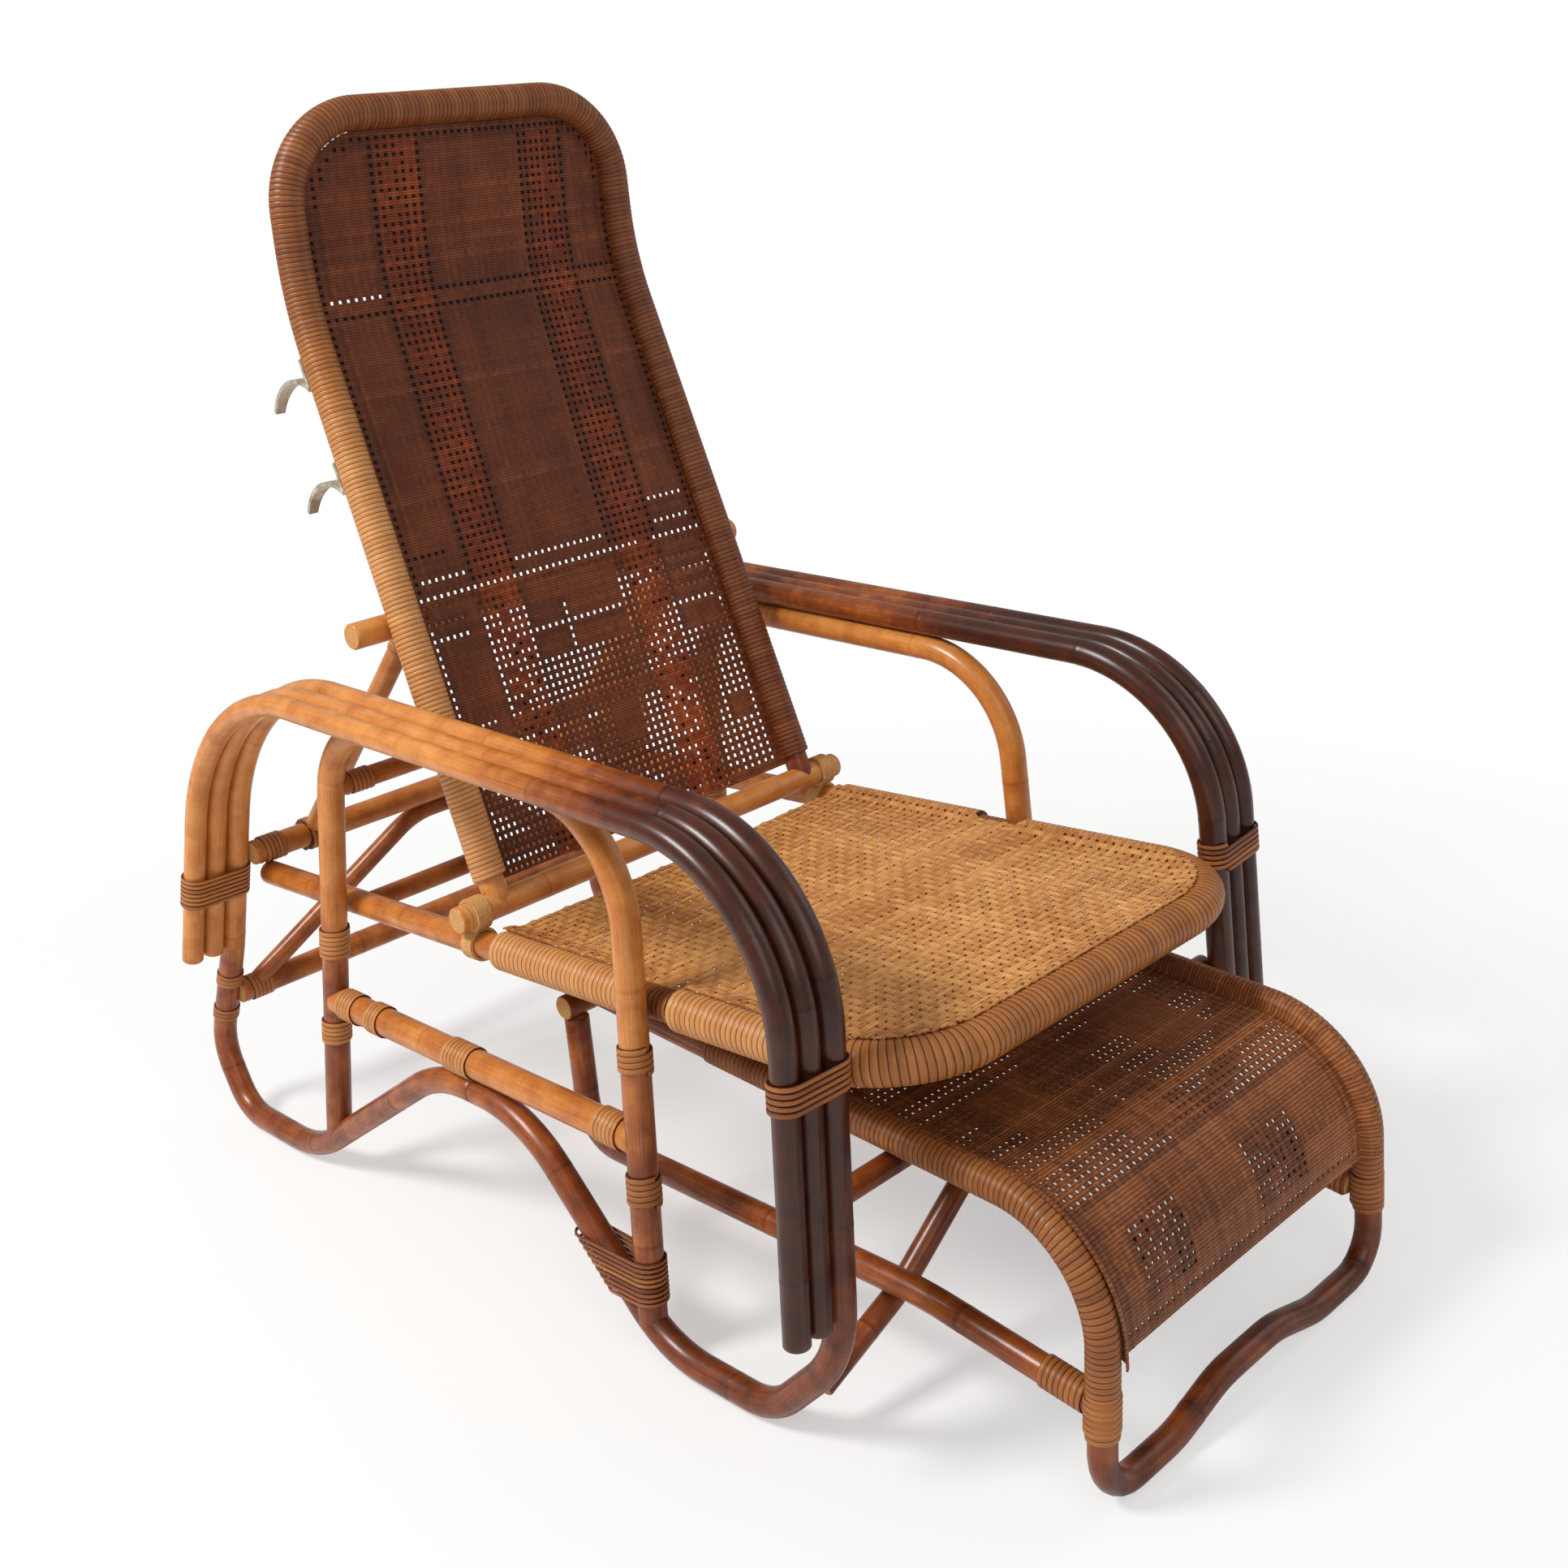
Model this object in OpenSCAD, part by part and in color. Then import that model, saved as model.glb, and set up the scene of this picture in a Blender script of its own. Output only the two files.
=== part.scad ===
/* [Canes] */
// Diameter of the two outer canes of each arm
arm_cane_d = 23; // [20:0.5:24]
// Diameter of the inner arm cane, which bends round into the leg loop
loop_cane_d = 26; // [24:0.5:28]
// Diameter of the hoop that stands under each arm
hoop_cane_d = 27; // [24:0.5:28]
// Diameter of the thick rail between the two posts of a hoop
stretcher_d = 29; // [26:0.5:30]
// Diameter of the cane of the seat frame
seat_cane_d = 26; // [24:0.5:27]
// Diameter of the light cross canes
cross_cane_d = 21; // [18:0.5:22]
// Diameter of the two heavy bars across the rear legs
rear_bar_d = 27; // [24:0.5:28]
// Diameter of the cane of the back frame
back_cane_d = 26; // [24:0.5:28]
// Diameter of the canes of the footrest
foot_cane_d = 24; // [22:0.5:25]
// Air between two canes that lie side by side
cane_gap = 0.8; // [0.7:0.1:1]
// Radial height of the ring where a bend begins or ends
knuckle_h = 0.25; // [0.15:0.05:0.3]

/* [Arms and legs] */
// Half distance between the innermost arm canes
arm_half_w = 249; // [246:1:256]
// Outward lean of the sides towards the floor, in degrees
splay_angle = 3.4; // [2.5:0.1:4]
// Height of the arm canes above the rear bend
arm_rear_z = 541; // [535:1:548]
// Height of the arm canes above the front bend
arm_front_z = 517; // [512:1:524]
// Place of the rear bend, behind the middle of the chair
arm_rear_y = 443; // [437:1:449]
// Place of the front legs, before the middle of the chair
front_leg_y = -387; // [-392:1:-383]
// Radius of the wide rear bend of the arm
arm_rear_r = 220; // [200:5:230]
// Radius of the front bend of the arm
arm_front_r = 150; // [130:5:160]
// Height of the cut front ends of the two outer canes
arm_front_end_z = 133; // [120:1:145]
// Height of the cut rear ends of the two outer canes
arm_rear_end_z = 214; // [208:1:218]

/* [Hoops] */
// Place of the front post of the hoop
post_y = -154; // [-160:1:-148]
// Place of the foot of the rear post
rear_post_y = 350; // [345:1:355]
// Radius of the rear bend of the hoop
hoop_rear_r = 85; // [75:5:95]
// Radius of the front bend of the hoop
hoop_front_r = 105; // [90:5:115]

/* [Seat] */
// Height of the seat frame at its front
seat_front_z = 332; // [330:1:334]
// Place of the front of the seat frame
seat_front_y = -437; // [-440:1:-432]
// Fall of the seat towards the back, in degrees
seat_tilt = 2.1; // [1.9:0.1:2.3]
// Outer diameter of the bound seat edge
seat_roll_d = 37; // [35:0.5:37.5]
// Radius of the front corners of the seat
seat_corner_r = 95; // [92:1:100]
// Thickness of the woven seat
seat_weave_t = 4; // [3:0.5:5]

/* [Back] */
// Half width of the back frame at its foot
back_foot_half_w = 207; // [204:0.5:208]
// Half width of the back frame at its top
back_top_half_w = 197; // [190:1:202]
// Lean of the back from upright, in degrees
back_lean = 19.5; // [18.5:0.5:20.5]
// Height of the top bar of the back
back_top_z = 1074; // [1050:1:1090]
// Radius of the top corners of the back
back_corner_r = 88; // [80:1:95]
// Outer diameter of the bound back frame
back_roll_d = 33; // [32:0.5:34]
// Thickness of the woven back
back_weave_t = 4; // [3:0.5:5]
// Half length of the pivot bar
pivot_half_l = 256; // [252:1:268]

/* [Prop and hooks] */
// Diameter of the bar that holds the back up
prop_bar_d = 26; // [24:0.5:27]
// Half length of that bar
prop_half_l = 247; // [242:1:250]
// Place of that bar up the back, from the pivot
prop_rest_s = 284; // [280:1:288]
// Place of the crown of the lower hooks up the back, from the pivot
lower_hook_s = 437; // [434:1:442]
// Place of the crown of the upper hooks up the back, from the pivot
upper_hook_s = 540; // [534:1:544]
// Width of a hook strap
hook_w = 22; // [18:1:24]
// Thickness of a hook strap
hook_t = 4; // [3:0.5:4]

/* [Footrest] */
// Half width between the rails of the footrest
foot_half_w = 190; // [186:0.5:192]
// Height of the rails of the footrest where they cross the front bar
foot_rail_z = 251; // [250:1:254]
// Fall of the footrest rails towards the front, in degrees
foot_tilt = 4; // [3.5:0.1:4.3]
// Place of the front leg of the footrest
foot_front_y = -582; // [-590:1:-576]
// Place of the rear end of the footrest
foot_rear_y = 36; // [30:1:40]
// Radius of the front bend of the footrest
foot_bend_r = 100; // [90:5:105]
// Rise of the wave between the two feet
foot_wave_h = 18; // [12:1:24]
// Height of the lower rails of the footrest, behind their bend
foot_low_z = 113; // [110:1:116]
// Height of the front ends of those rails
foot_low_end_z = 89; // [86:1:100]
// Outer diameter of the bound footrest rail
foot_roll_d = 27.5; // [27:0.5:29]
// Thickness of the woven footrest
foot_weave_t = 4; // [3:0.5:5]

/* [Lashings] */
// Thickness of the strip of a lashing
strip_t = 2.2; // [1.6:0.1:2.2]
// Rise of the rear leg's lashing in one turn
rear_lash_pitch = 7.2; // [6.8:0.1:8]
// Rise of the front leg's lashing in one turn
front_lash_pitch = 5.2; // [5:0.1:7]
// Rise of the post foot's lashing in one turn
foot_lash_pitch = 8.5; // [7:0.1:9]
// Air between the turns of a lashing
strip_gap = 0.9; // [0.6:0.1:1.5]

/* [Hidden] */
SIDES = ["right", "left"];

// Facets round a cane, and round a full circle of a bend
cane_fn = 32;
bend_fn = 64;
// Length of the ring at the end of a bend, and the gap that it hides between bend and straight
knuckle_w = 4;
joint_gap = 0.6;
// Air between a bore and the bar that turns in it, and between other pieces that meet
running_fit = 0.1;
seat_fit = 0.3;

loop_r = loop_cane_d / 2;
arm_r = arm_cane_d / 2;
hoop_r = hoop_cane_d / 2;
cross_r = cross_cane_d / 2;
foot_r = foot_cane_d / 2;
splay = tan(splay_angle);
arm_fall = (arm_rear_z - arm_front_z) / (arm_rear_y - front_leg_y);
middle_w = arm_half_w + loop_r + arm_r + cane_gap;
outer_w = middle_w + arm_cane_d + cane_gap;
// Rearward slope of the rear leg, per millimetre down
leg_slope = 0.28;
arm_rear_end = [arm_rear_y + leg_slope * (arm_rear_z - arm_rear_end_z), arm_rear_end_z];

// Leg loop: the foot bends and the wave whose crest carries the stretcher
foot_z = loop_r + knuckle_h;
rear_heel = [586, 84];
rear_foot_y = 540;
wave_rear_y = 395;
wave_rear_slope = 0.663;
wave_front_slope = 0.872;
wave_front_y = -175;
front_foot_y = -305;
front_heel = [front_leg_y, 95];
wave_crest_z = 177;
crest_rear_y = wave_rear_y - (wave_crest_z - foot_z) / wave_rear_slope;
crest_front_y = wave_front_y + (wave_crest_z - foot_z) / wave_front_slope;
crest_joint_y = 87;
heel_r = 58;
rear_wave_r = 150;
front_wave_r = 120;
crest_r = 160;
front_foot_r = 70;
front_heel_r = 110;
loop_profile = [[crest_joint_y + joint_gap, wave_crest_z], [crest_rear_y, wave_crest_z],
    [wave_rear_y, foot_z], [rear_foot_y, foot_z], rear_heel, arm_rear_end, [arm_rear_y, arm_rear_z],
    [front_leg_y, arm_front_z], front_heel, [front_foot_y, foot_z], [wave_front_y, foot_z],
    [crest_front_y, wave_crest_z], [crest_joint_y - joint_gap, wave_crest_z]];
loop_radii = [crest_r, rear_wave_r, heel_r, heel_r, 100, arm_rear_r, arm_front_r, front_heel_r,
    front_foot_r, front_wave_r, crest_r];

// Hoop: its top lies along the underside of the inner arm cane
hoop_drop = loop_r + hoop_r + cane_gap;
hoop_lean = 0.142;
hoop_rear_top_y = rear_post_y - hoop_lean * (arm_rear_z - hoop_drop - 43);
function arm_z(y) = arm_rear_z - arm_fall * (arm_rear_y - y);
function rear_post_at(z) = rear_post_y - hoop_lean * (z - rear_post_foot_z);
rear_post_foot_z = foot_z + (wave_rear_y - rear_post_y) * wave_rear_slope;
front_post_foot_z = foot_z + (post_y - wave_front_y) * wave_front_slope + 1;
hoop_profile = [[rear_post_y, rear_post_foot_z], [hoop_rear_top_y, arm_z(hoop_rear_top_y) - hoop_drop],
    [post_y, arm_z(post_y) - hoop_drop], [post_y, front_post_foot_z]];
stretcher_z = wave_crest_z + loop_r + stretcher_d / 2 + cane_gap;
wrap_t = 2;
wrap_l = 32;

// Seat, in its own tilted frame with its origin in the middle of the front edge
function seat_z(y) = seat_front_z - tan(seat_tilt) * (y - seat_front_y);
function side_x(w, z) = w + splay * (arm_rear_z - z);
seat_half_w = side_x(arm_half_w, seat_z(post_y)) - hoop_r - seat_cane_d / 2 - 2 * cane_gap;
seat_roll_r = seat_roll_d / 2;
seat_rail_end_y = 488;
seat_bar_y = 60;
seat_bound_y = 98;
post_notch = 26;
weave_lift = cross_r + seat_fit;

// Bars across the chair
upper_bar_y = 490;
upper_bar_z = seat_z(upper_bar_y) + seat_cane_d / 2 + rear_bar_d / 2 + seat_fit;
lower_bar_y = 550;
lower_bar_z = 150;
leg_clear = loop_r + seat_fit + 0.1;
hoop_bar_z = 437;
rail_bar_y = 300;
front_bar_y = front_leg_y + loop_r + cross_r + seat_fit + 0.3;
front_bar_z = foot_rail_z - 36;
arch_turn_r = 70;
arch_foot_x = 240;
arch_foot_up = 8;
arch_crown_x = 40;
// Front arch: feet, shoulders under the footrest's lower rails, and crown
shoulder_foot_y = -347;
shoulder_foot_z = 57;
shoulder_x = 165;
shoulder_turn = 22.5;
shoulder_r = 120;
shoulder_crown_x = 45;
runner_drop = 13;
cut_half_l = side_x(arm_half_w, 0);

// Back, hung on the pivot bar which lies on the seat rails
pivot_y = 102;
pivot_r = back_cane_d / 2;
loop_t = 3.5;
pivot_z = seat_z(pivot_y) + seat_cane_d / 2 + loop_t + pivot_r + seat_fit;
back_bend_z = 908;
back_bend_y = pivot_y + (back_bend_z - pivot_z) * tan(back_lean);
back_bend_r = 300;
back_roll_r = back_roll_d / 2;
back_bend_w = back_foot_half_w + (back_top_half_w - back_foot_half_w)
    * (back_bend_z - pivot_z) / (back_top_z - pivot_z);
back_path = [[back_foot_half_w, pivot_y, pivot_z], [back_bend_w, back_bend_y, back_bend_z],
    [back_top_half_w, back_bend_y, back_top_z]];

// Prop: two struts hinged on the upper rear bar, and a bar that bears behind the back
prop_half_w = 176;
prop_offset = back_roll_r + prop_bar_d / 2 + seat_fit;
prop_y = pivot_y + prop_rest_s * sin(back_lean) + prop_offset * cos(back_lean);
prop_z = pivot_z + prop_rest_s * cos(back_lean) - prop_offset * sin(back_lean);
strut_d = 22;
eye_t = 5;
eye_w = 24;
hook_r = 60;
hook_half_turn = 46;
hook_tip_w = 5;
hook_foot_s = -22;
hook_foot_l = 32;

// Footrest
foot_slope = tan(foot_tilt);
function foot_z_at(y) = foot_rail_z + foot_slope * (y - front_bar_y);
foot_leg_x = foot_half_w + 10;
foot_leg_y = foot_front_y + 5;
foot_floor_z = foot_r + knuckle_h;
wave_foot_x = 105;
wave_crest_x = 40;
foot_half_path = [[foot_half_w, foot_rear_y, foot_z_at(foot_rear_y)],
    [foot_half_w, foot_front_y, foot_z_at(foot_front_y)], [foot_leg_x, foot_leg_y, foot_floor_z],
    [wave_foot_x, foot_leg_y, foot_floor_z], [wave_crest_x, foot_leg_y, foot_floor_z + foot_wave_h]];
foot_half_radii = [foot_bend_r, 38, 100, 110];
foot_bound_y = -165;
foot_bound_z = 66;
foot_roll_r = foot_roll_d / 2;
rear_bar_y = foot_rear_y - foot_r;
rear_bar_z = foot_z_at(rear_bar_y) - foot_r - foot_r - seat_fit - 0.4;
foot_post_r = 40;
foot_low_bend_y = -400;
foot_low_bend_r = 300;

function unit(v) = v / norm(v);
function turn(a, b, c) = acos(max(-1, min(1, unit(b - a) * unit(c - b))));
function trim(a, b, c, r) = r * tan(turn(a, b, c) / 2);
function aside(v) = unit(cross(v, abs(v[0]) < 0.9 ? [1, 0, 0] : [0, 1, 0]));
function reversed(v) = [for (i = [len(v) - 1 : -1 : 0]) v[i]];
function flipped(p) = [for (q = p) [-q[0], q[1], q[2]]];
function side_path(w, profile) = [for (q = profile) [side_x(w, q[1]), q[0], q[1]]];
function arm_profile() = [arm_rear_end, [arm_rear_y, arm_rear_z], [front_leg_y, arm_front_z],
    [front_leg_y, arm_front_end_z]];

// Centre of the bend at the corner b
function bend_centre(a, b, c, r) = b + unit(unit(c - b) - unit(b - a)) * r / cos(turn(a, b, c) / 2);

// The origin lies on the floor under the middle of the chair with its footrest as shown
heel_centre = bend_centre([rear_foot_y, foot_z], rear_heel, arm_rear_end, heel_r);
toe_centre = bend_centre([foot_rear_y, foot_z_at(foot_rear_y)], [foot_front_y, foot_z_at(foot_front_y)],
    [foot_leg_y, foot_floor_z], foot_bend_r);
middle_y = (heel_centre[0] + heel_r + loop_r + toe_centre[0] - foot_bend_r - foot_roll_r) / 2;

// Children moved so that their x axis lies along ex and their z axis along ez
module at_frame(o, ex, ez) {
    ey = cross(ez, ex);
    multmatrix([for (k = [0 : 2]) [ex[k], ey[k], ez[k], o[k]]]) children();
}

// Straight cane from a to b, with its ends drawn back
module straight(a, b, r, head = 0, tail = 0) {
    u = unit(b - a);
    at_frame(a + u * head, aside(u), u) cylinder(h = norm(b - a) - head - tail, r = r, $fn = cane_fn);
}

// Ring that joins a bend to a straight run, as a cane's own node does
module knuckle(at, u, r) {
    straight(at - u * knuckle_w / 2, at + u * knuckle_w / 2, r + knuckle_h);
}

// Bend of a cane at the corner b between a and c
module bend(a, b, c, bend_r, r) {
    u = unit(b - a);
    v = unit(c - b);
    ez = unit(cross(u, v));
    start = b - u * trim(a, b, c, bend_r);
    inward = cross(ez, u);
    slack = joint_gap / bend_r * 180 / PI;
    at_frame(start + inward * bend_r, -inward, ez) rotate([0, 0, slack])
        rotate_extrude(angle = turn(a, b, c) - 2 * slack, $fn = bend_fn)
            translate([bend_r, 0]) circle(r = r, $fn = cane_fn);
    knuckle(start, u, r);
    knuckle(b + v * trim(a, b, c, bend_r), v, r);
}

// Bent cane through the corners p, with one bend radius for each inner corner
module rod(p, radii, r) {
    last = len(p) - 2;
    for (i = [0 : last]) {
        u = unit(p[i + 1] - p[i]);
        head = i == 0 ? 0 : trim(p[i - 1], p[i], p[i + 1], radii[i - 1]) + joint_gap;
        tail = i == last ? 0 : trim(p[i], p[i + 1], p[i + 2], radii[i]) + joint_gap;
        straight(p[i], p[i + 1], r, head, tail);
        if (i < last) bend(p[i], p[i + 1], p[i + 2], radii[i], r);
    }
}

// Hollow sleeve of binding along the same path as a cane
module sleeve(p, radii, cane_r, outer_r) {
    difference() {
        rod(p, radii, outer_r);
        rod(p, radii, cane_r + seat_fit);
    }
}

// Straight bar across the chair
module crossbar(y, z, half_l, r) {
    translate([-half_l, y, z]) rotate([0, 90, 0]) cylinder(h = 2 * half_l, r = r, $fn = cane_fn);
}

module placed() {
    translate([0, -middle_y, 0]) children();
}

// The left side is drawn, and the right side is its mirror image
module on_side(side) {
    placed() mirror([side == "right" ? 1 : 0, 0, 0]) children();
}

module arm_cane(w) {
    color("peru") rod(side_path(w, arm_profile()), [arm_rear_r, arm_front_r], arm_r);
}

module leg_loop() {
    color("chocolate") rod(side_path(arm_half_w, loop_profile), loop_radii, loop_r);
}

// Lower ends are cut to sit on the wave of the leg loop
module hoop() {
    path = side_path(arm_half_w, loop_profile);
    color("peru") difference() {
        rod(side_path(arm_half_w, hoop_profile), [hoop_rear_r, hoop_front_r], hoop_r);
        rod([path[1], path[2], path[3]], [rear_wave_r], loop_r + seat_fit);
        rod([path[9], path[10], path[11]], [front_wave_r], loop_r + seat_fit);
    }
}

// Thick rail, its ends cut to the round of the posts
module side_stretcher() {
    path = side_path(arm_half_w, hoop_profile);
    color("burlywood") difference() {
        rod(side_path(arm_half_w, [[rear_post_at(stretcher_z), stretcher_z], [post_y, stretcher_z]]),
            [], stretcher_d / 2);
        straight(path[0], path[1], hoop_r + seat_fit);
        straight(path[2], path[3], hoop_r + seat_fit);
    }
}

// Binding on the two ends of the thick rail
module stretcher_wraps() {
    x = side_x(arm_half_w, stretcher_z);
    for (y = [post_y + hoop_r + 3, rear_post_at(stretcher_z) - hoop_r - 3 - wrap_l])
        color("burlywood") translate([x, y, stretcher_z]) rotate([-90, 0, 0]) difference() {
            cylinder(h = wrap_l, r = stretcher_d / 2 + seat_fit + wrap_t, $fn = cane_fn);
            translate([0, 0, -1]) cylinder(h = wrap_l + 2, r = stretcher_d / 2 + seat_fit, $fn = cane_fn);
        }
}

// Lashing: a flat strip wound round two or more canes as one unbroken tube.
// A turn is a straight-sided loop with round ends, whose far end may slope with height.
turn_steps = 24;
strip_sides = 6;
function strip_point(k, w) = let (a = 60 * k) [strip_t / 2 * sin(a), w / 2 * cos(a)];
function loop_point(s, r, c0, c1) =
    let (run = c1 - c0, arc = PI * r, total = 2 * run + 2 * arc, d = s * total)
    d < run ? [c0 + d, -r, 0, -1]
    : d < run + arc ? let (a = (d - run) / r * 180 / PI - 90) [c1 + r * cos(a), r * sin(a), cos(a), sin(a)]
    : d < 2 * run + arc ? [c1 - (d - run - arc), r, 0, 1]
    : let (a = (d - 2 * run - arc) / r * 180 / PI + 90) [c0 + r * cos(a), r * sin(a), cos(a), sin(a)];
function lashing_rings(turns, pitch, r, c0, c1, slope) = [for (i = [0 : turns * turn_steps])
    let (turned = i / turn_steps, h = turned * pitch,
        q = loop_point(turned - floor(turned), r, c0, c1 + slope * h))
    [for (k = [0 : strip_sides - 1]) let (p = strip_point(k, pitch - strip_gap))
        [q[0] + q[2] * p[0], q[1] + q[3] * p[0], h + p[1]]]];
module lashing(turns, pitch, r, c0, c1, slope = 0) {
    rings = lashing_rings(turns, pitch, r, c0, c1, slope);
    n = strip_sides;
    last = len(rings) - 1;
    points = [for (ring = rings) each ring];
    walls = [for (i = [0 : last - 1], k = [0 : n - 1]) let (a = i * n + k, b = i * n + (k + 1) % n)
        each [[a, b, b + n], [a, b + n, a + n]]];
    caps = [for (k = [1 : n - 2]) each [[0, k + 1, k], [last * n, last * n + k, last * n + k + 1]]];
    polyhedron(points = points, faces = [for (f = concat(walls, caps)) reversed(f)]);
}
lashing_r = loop_r + knuckle_h + seat_fit + strip_t / 2;
// Least distance between the points of one turn and those of the turn above it
function least_gap(rings) = min([for (i = [0 : len(rings) - turn_steps - 3], j = [-2 : 2])
    for (a = rings[i], b = rings[i + turn_steps + j]) norm(a - b)]);

// Lashing round the three canes of a leg, at height z
module leg_lashing(turns, pitch, y, z, slope) {
    axis = unit([splay, slope, -1]);
    row = unit([1, 0, 0] - axis * axis[0]);
    color("tan") at_frame([side_x(arm_half_w, z), y, z], row, -axis)
        lashing(turns, pitch, lashing_r, 0, outer_w - arm_half_w - loop_r + arm_r);
}
rear_lash_turns = 5;
front_lash_turns = 5;
foot_lash_turns = 5;
rear_lash_z = 280;
front_lash_z = 326;
foot_lash_z = 52;
module rear_leg_lashing() {
    y = arm_rear_end[0] - leg_slope * (rear_lash_z - arm_rear_end_z);
    leg_lashing(rear_lash_turns, rear_lash_pitch, y, rear_lash_z, leg_slope);
}
module front_leg_lashing() {
    leg_lashing(front_lash_turns, front_lash_pitch, front_leg_y, front_lash_z, 0);
}

// Lashing of the front post to the wave of the leg loop, wider where the two part
lash_fit = 1.4;
module post_foot_lashing() {
    axis = unit([-splay, 0, 1]);
    wave_reach = loop_r / sin(atan(wave_front_slope)) - loop_r + foot_lash_pitch / 2 / wave_front_slope;
    wave_y = wave_front_y + (foot_lash_z - foot_z) / wave_front_slope;
    r = hoop_r + lash_fit + strip_t / 2;
    color("tan") at_frame([side_x(arm_half_w, foot_lash_z), post_y, foot_lash_z], [0, 1, 0], axis)
        lashing(foot_lash_turns, foot_lash_pitch, r, 0, wave_y + wave_reach - post_y, 1 / wave_front_slope);
}

echo(least_gap_in_a_lashing = least_gap(
    lashing_rings(rear_lash_turns, rear_lash_pitch, lashing_r, 0, 60, 0)));
echo(least_gap_at_the_front = least_gap(
    lashing_rings(front_lash_turns, front_lash_pitch, lashing_r, 0, 60, 0)));
echo(least_gap_at_the_foot = least_gap(lashing_rings(foot_lash_turns, foot_lash_pitch, hoop_r, 0, 40,
    1 / wave_front_slope)));

module in_seat() {
    translate([0, seat_front_y, seat_front_z]) rotate([-seat_tilt, 0, 0]) children();
}
function seat_run(y) = (y - seat_front_y) / cos(seat_tilt);

module seat_frame() {
    end = seat_run(seat_rail_end_y);
    w = seat_half_w;
    color("sandybrown") in_seat()
        rod([[-w, end, 0], [-w, 0, 0], [w, 0, 0], [w, end, 0]], [seat_corner_r, seat_corner_r],
            seat_cane_d / 2);
}

// Binding of the seat edge, open where the front posts stand against the frame
module seat_binding() {
    w = seat_half_w;
    front_end = seat_run(post_y - post_notch);
    color("burlywood") in_seat() {
        sleeve([[-w, front_end, 0], [-w, 0, 0], [w, 0, 0], [w, front_end, 0]],
            [seat_corner_r, seat_corner_r], seat_cane_d / 2, seat_roll_r);
        for (x = [-w, w])
            sleeve([[x, seat_run(post_y + post_notch), 0], [x, seat_run(seat_bound_y - 30), 0]], [],
                seat_cane_d / 2, seat_roll_r);
    }
}

module seat_rear_bar() {
    color("peru") in_seat()
        crossbar(seat_run(seat_bar_y), 0, seat_half_w - seat_roll_r - seat_fit, cross_r);
}

// Woven panel, drawn between the bound edges and carried on the rear bar
module seat_weave() {
    edge = seat_half_w - sqrt(pow(seat_roll_r, 2) - pow(weave_lift, 2)) - 2 * seat_fit;
    front = seat_half_w - edge;
    back = seat_run(seat_bar_y) + cross_r;
    r = seat_corner_r - front;
    color("goldenrod") in_seat() translate([0, 0, weave_lift]) linear_extrude(seat_weave_t) {
        translate([-edge, front + r]) square([2 * edge, back - front - r]);
        translate([-edge + r, front]) square([2 * (edge - r), r + 1]);
        for (x = [-edge + r, edge - r]) translate([x, front + r]) circle(r = r, $fn = bend_fn);
    }
}

module rear_upper_bar() {
    leg_x = side_x(arm_half_w, upper_bar_z);
    color("peru") crossbar(upper_bar_y, upper_bar_z, leg_x - leg_clear - strip_t - 1, rear_bar_d / 2);
}

module rear_lower_bar() {
    color("peru") crossbar(lower_bar_y, lower_bar_z, side_x(arm_half_w, lower_bar_z) - leg_clear,
        rear_bar_d / 2);
}

// Arch from the lower rear bar up to the middle of the upper one
module rear_arch() {
    foot = [0, lower_bar_y, lower_bar_z];
    up = unit([0, upper_bar_y - lower_bar_y, upper_bar_z - lower_bar_z]);
    reach = rear_bar_d / 2 + cross_r + seat_fit;
    top = [0, upper_bar_y, upper_bar_z] - up * (reach + 0.2);
    color("chocolate") difference() {
        rod([foot + [-arch_foot_x, 0, 0] + up * arch_foot_up, top - [arch_crown_x, 0, 0],
            top + [arch_crown_x, 0, 0], foot + [arch_foot_x, 0, 0] + up * arch_foot_up],
            [arch_turn_r, arch_turn_r], cross_r);
        crossbar(lower_bar_y, lower_bar_z, cut_half_l, rear_bar_d / 2 + seat_fit);
    }
}

module hoop_bar() {
    color("peru") crossbar(rear_post_at(hoop_bar_z), hoop_bar_z,
        side_x(arm_half_w, hoop_bar_z) - hoop_r - 2 * seat_fit, cross_r);
}

module rail_bar() {
    color("peru") crossbar(rail_bar_y, seat_z(rail_bar_y), seat_half_w - seat_cane_d / 2 - seat_fit, cross_r);
}

module front_bar() {
    color("sienna") crossbar(front_bar_y, front_bar_z, side_x(arm_half_w, front_bar_z), cross_r);
}

// Arch between the front feet: its shoulders carry the lower rails of the footrest
module front_arch() {
    leg = side_path(arm_half_w, [for (i = [7 : 10]) loop_profile[i]]);
    leg_radii = [loop_radii[7], loop_radii[8]];
    foot_x = side_x(arm_half_w, shoulder_foot_z) - leg_clear;
    slope = tan(shoulder_turn);
    runner = foot_low_z - runner_drop - (foot_r + cross_r + seat_fit) / cos(shoulder_turn);
    shoulder_z = runner + slope * (foot_half_w - shoulder_x);
    base_z = runner - slope * (foot_x - foot_half_w);
    top_z = front_bar_z - 2 * cross_r - seat_fit - 0.2;
    half = [[foot_x, shoulder_foot_y, base_z], [shoulder_x, shoulder_foot_y - 2, shoulder_z],
        [shoulder_crown_x, front_bar_y, top_z]];
    color("sienna") difference() {
        rod(concat(half, flipped(reversed(half))), [shoulder_r, arch_turn_r, arch_turn_r, shoulder_r], cross_r);
        for (path = [leg, flipped(leg)]) rod(path, leg_radii, loop_r + seat_fit);
    }
}

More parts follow.
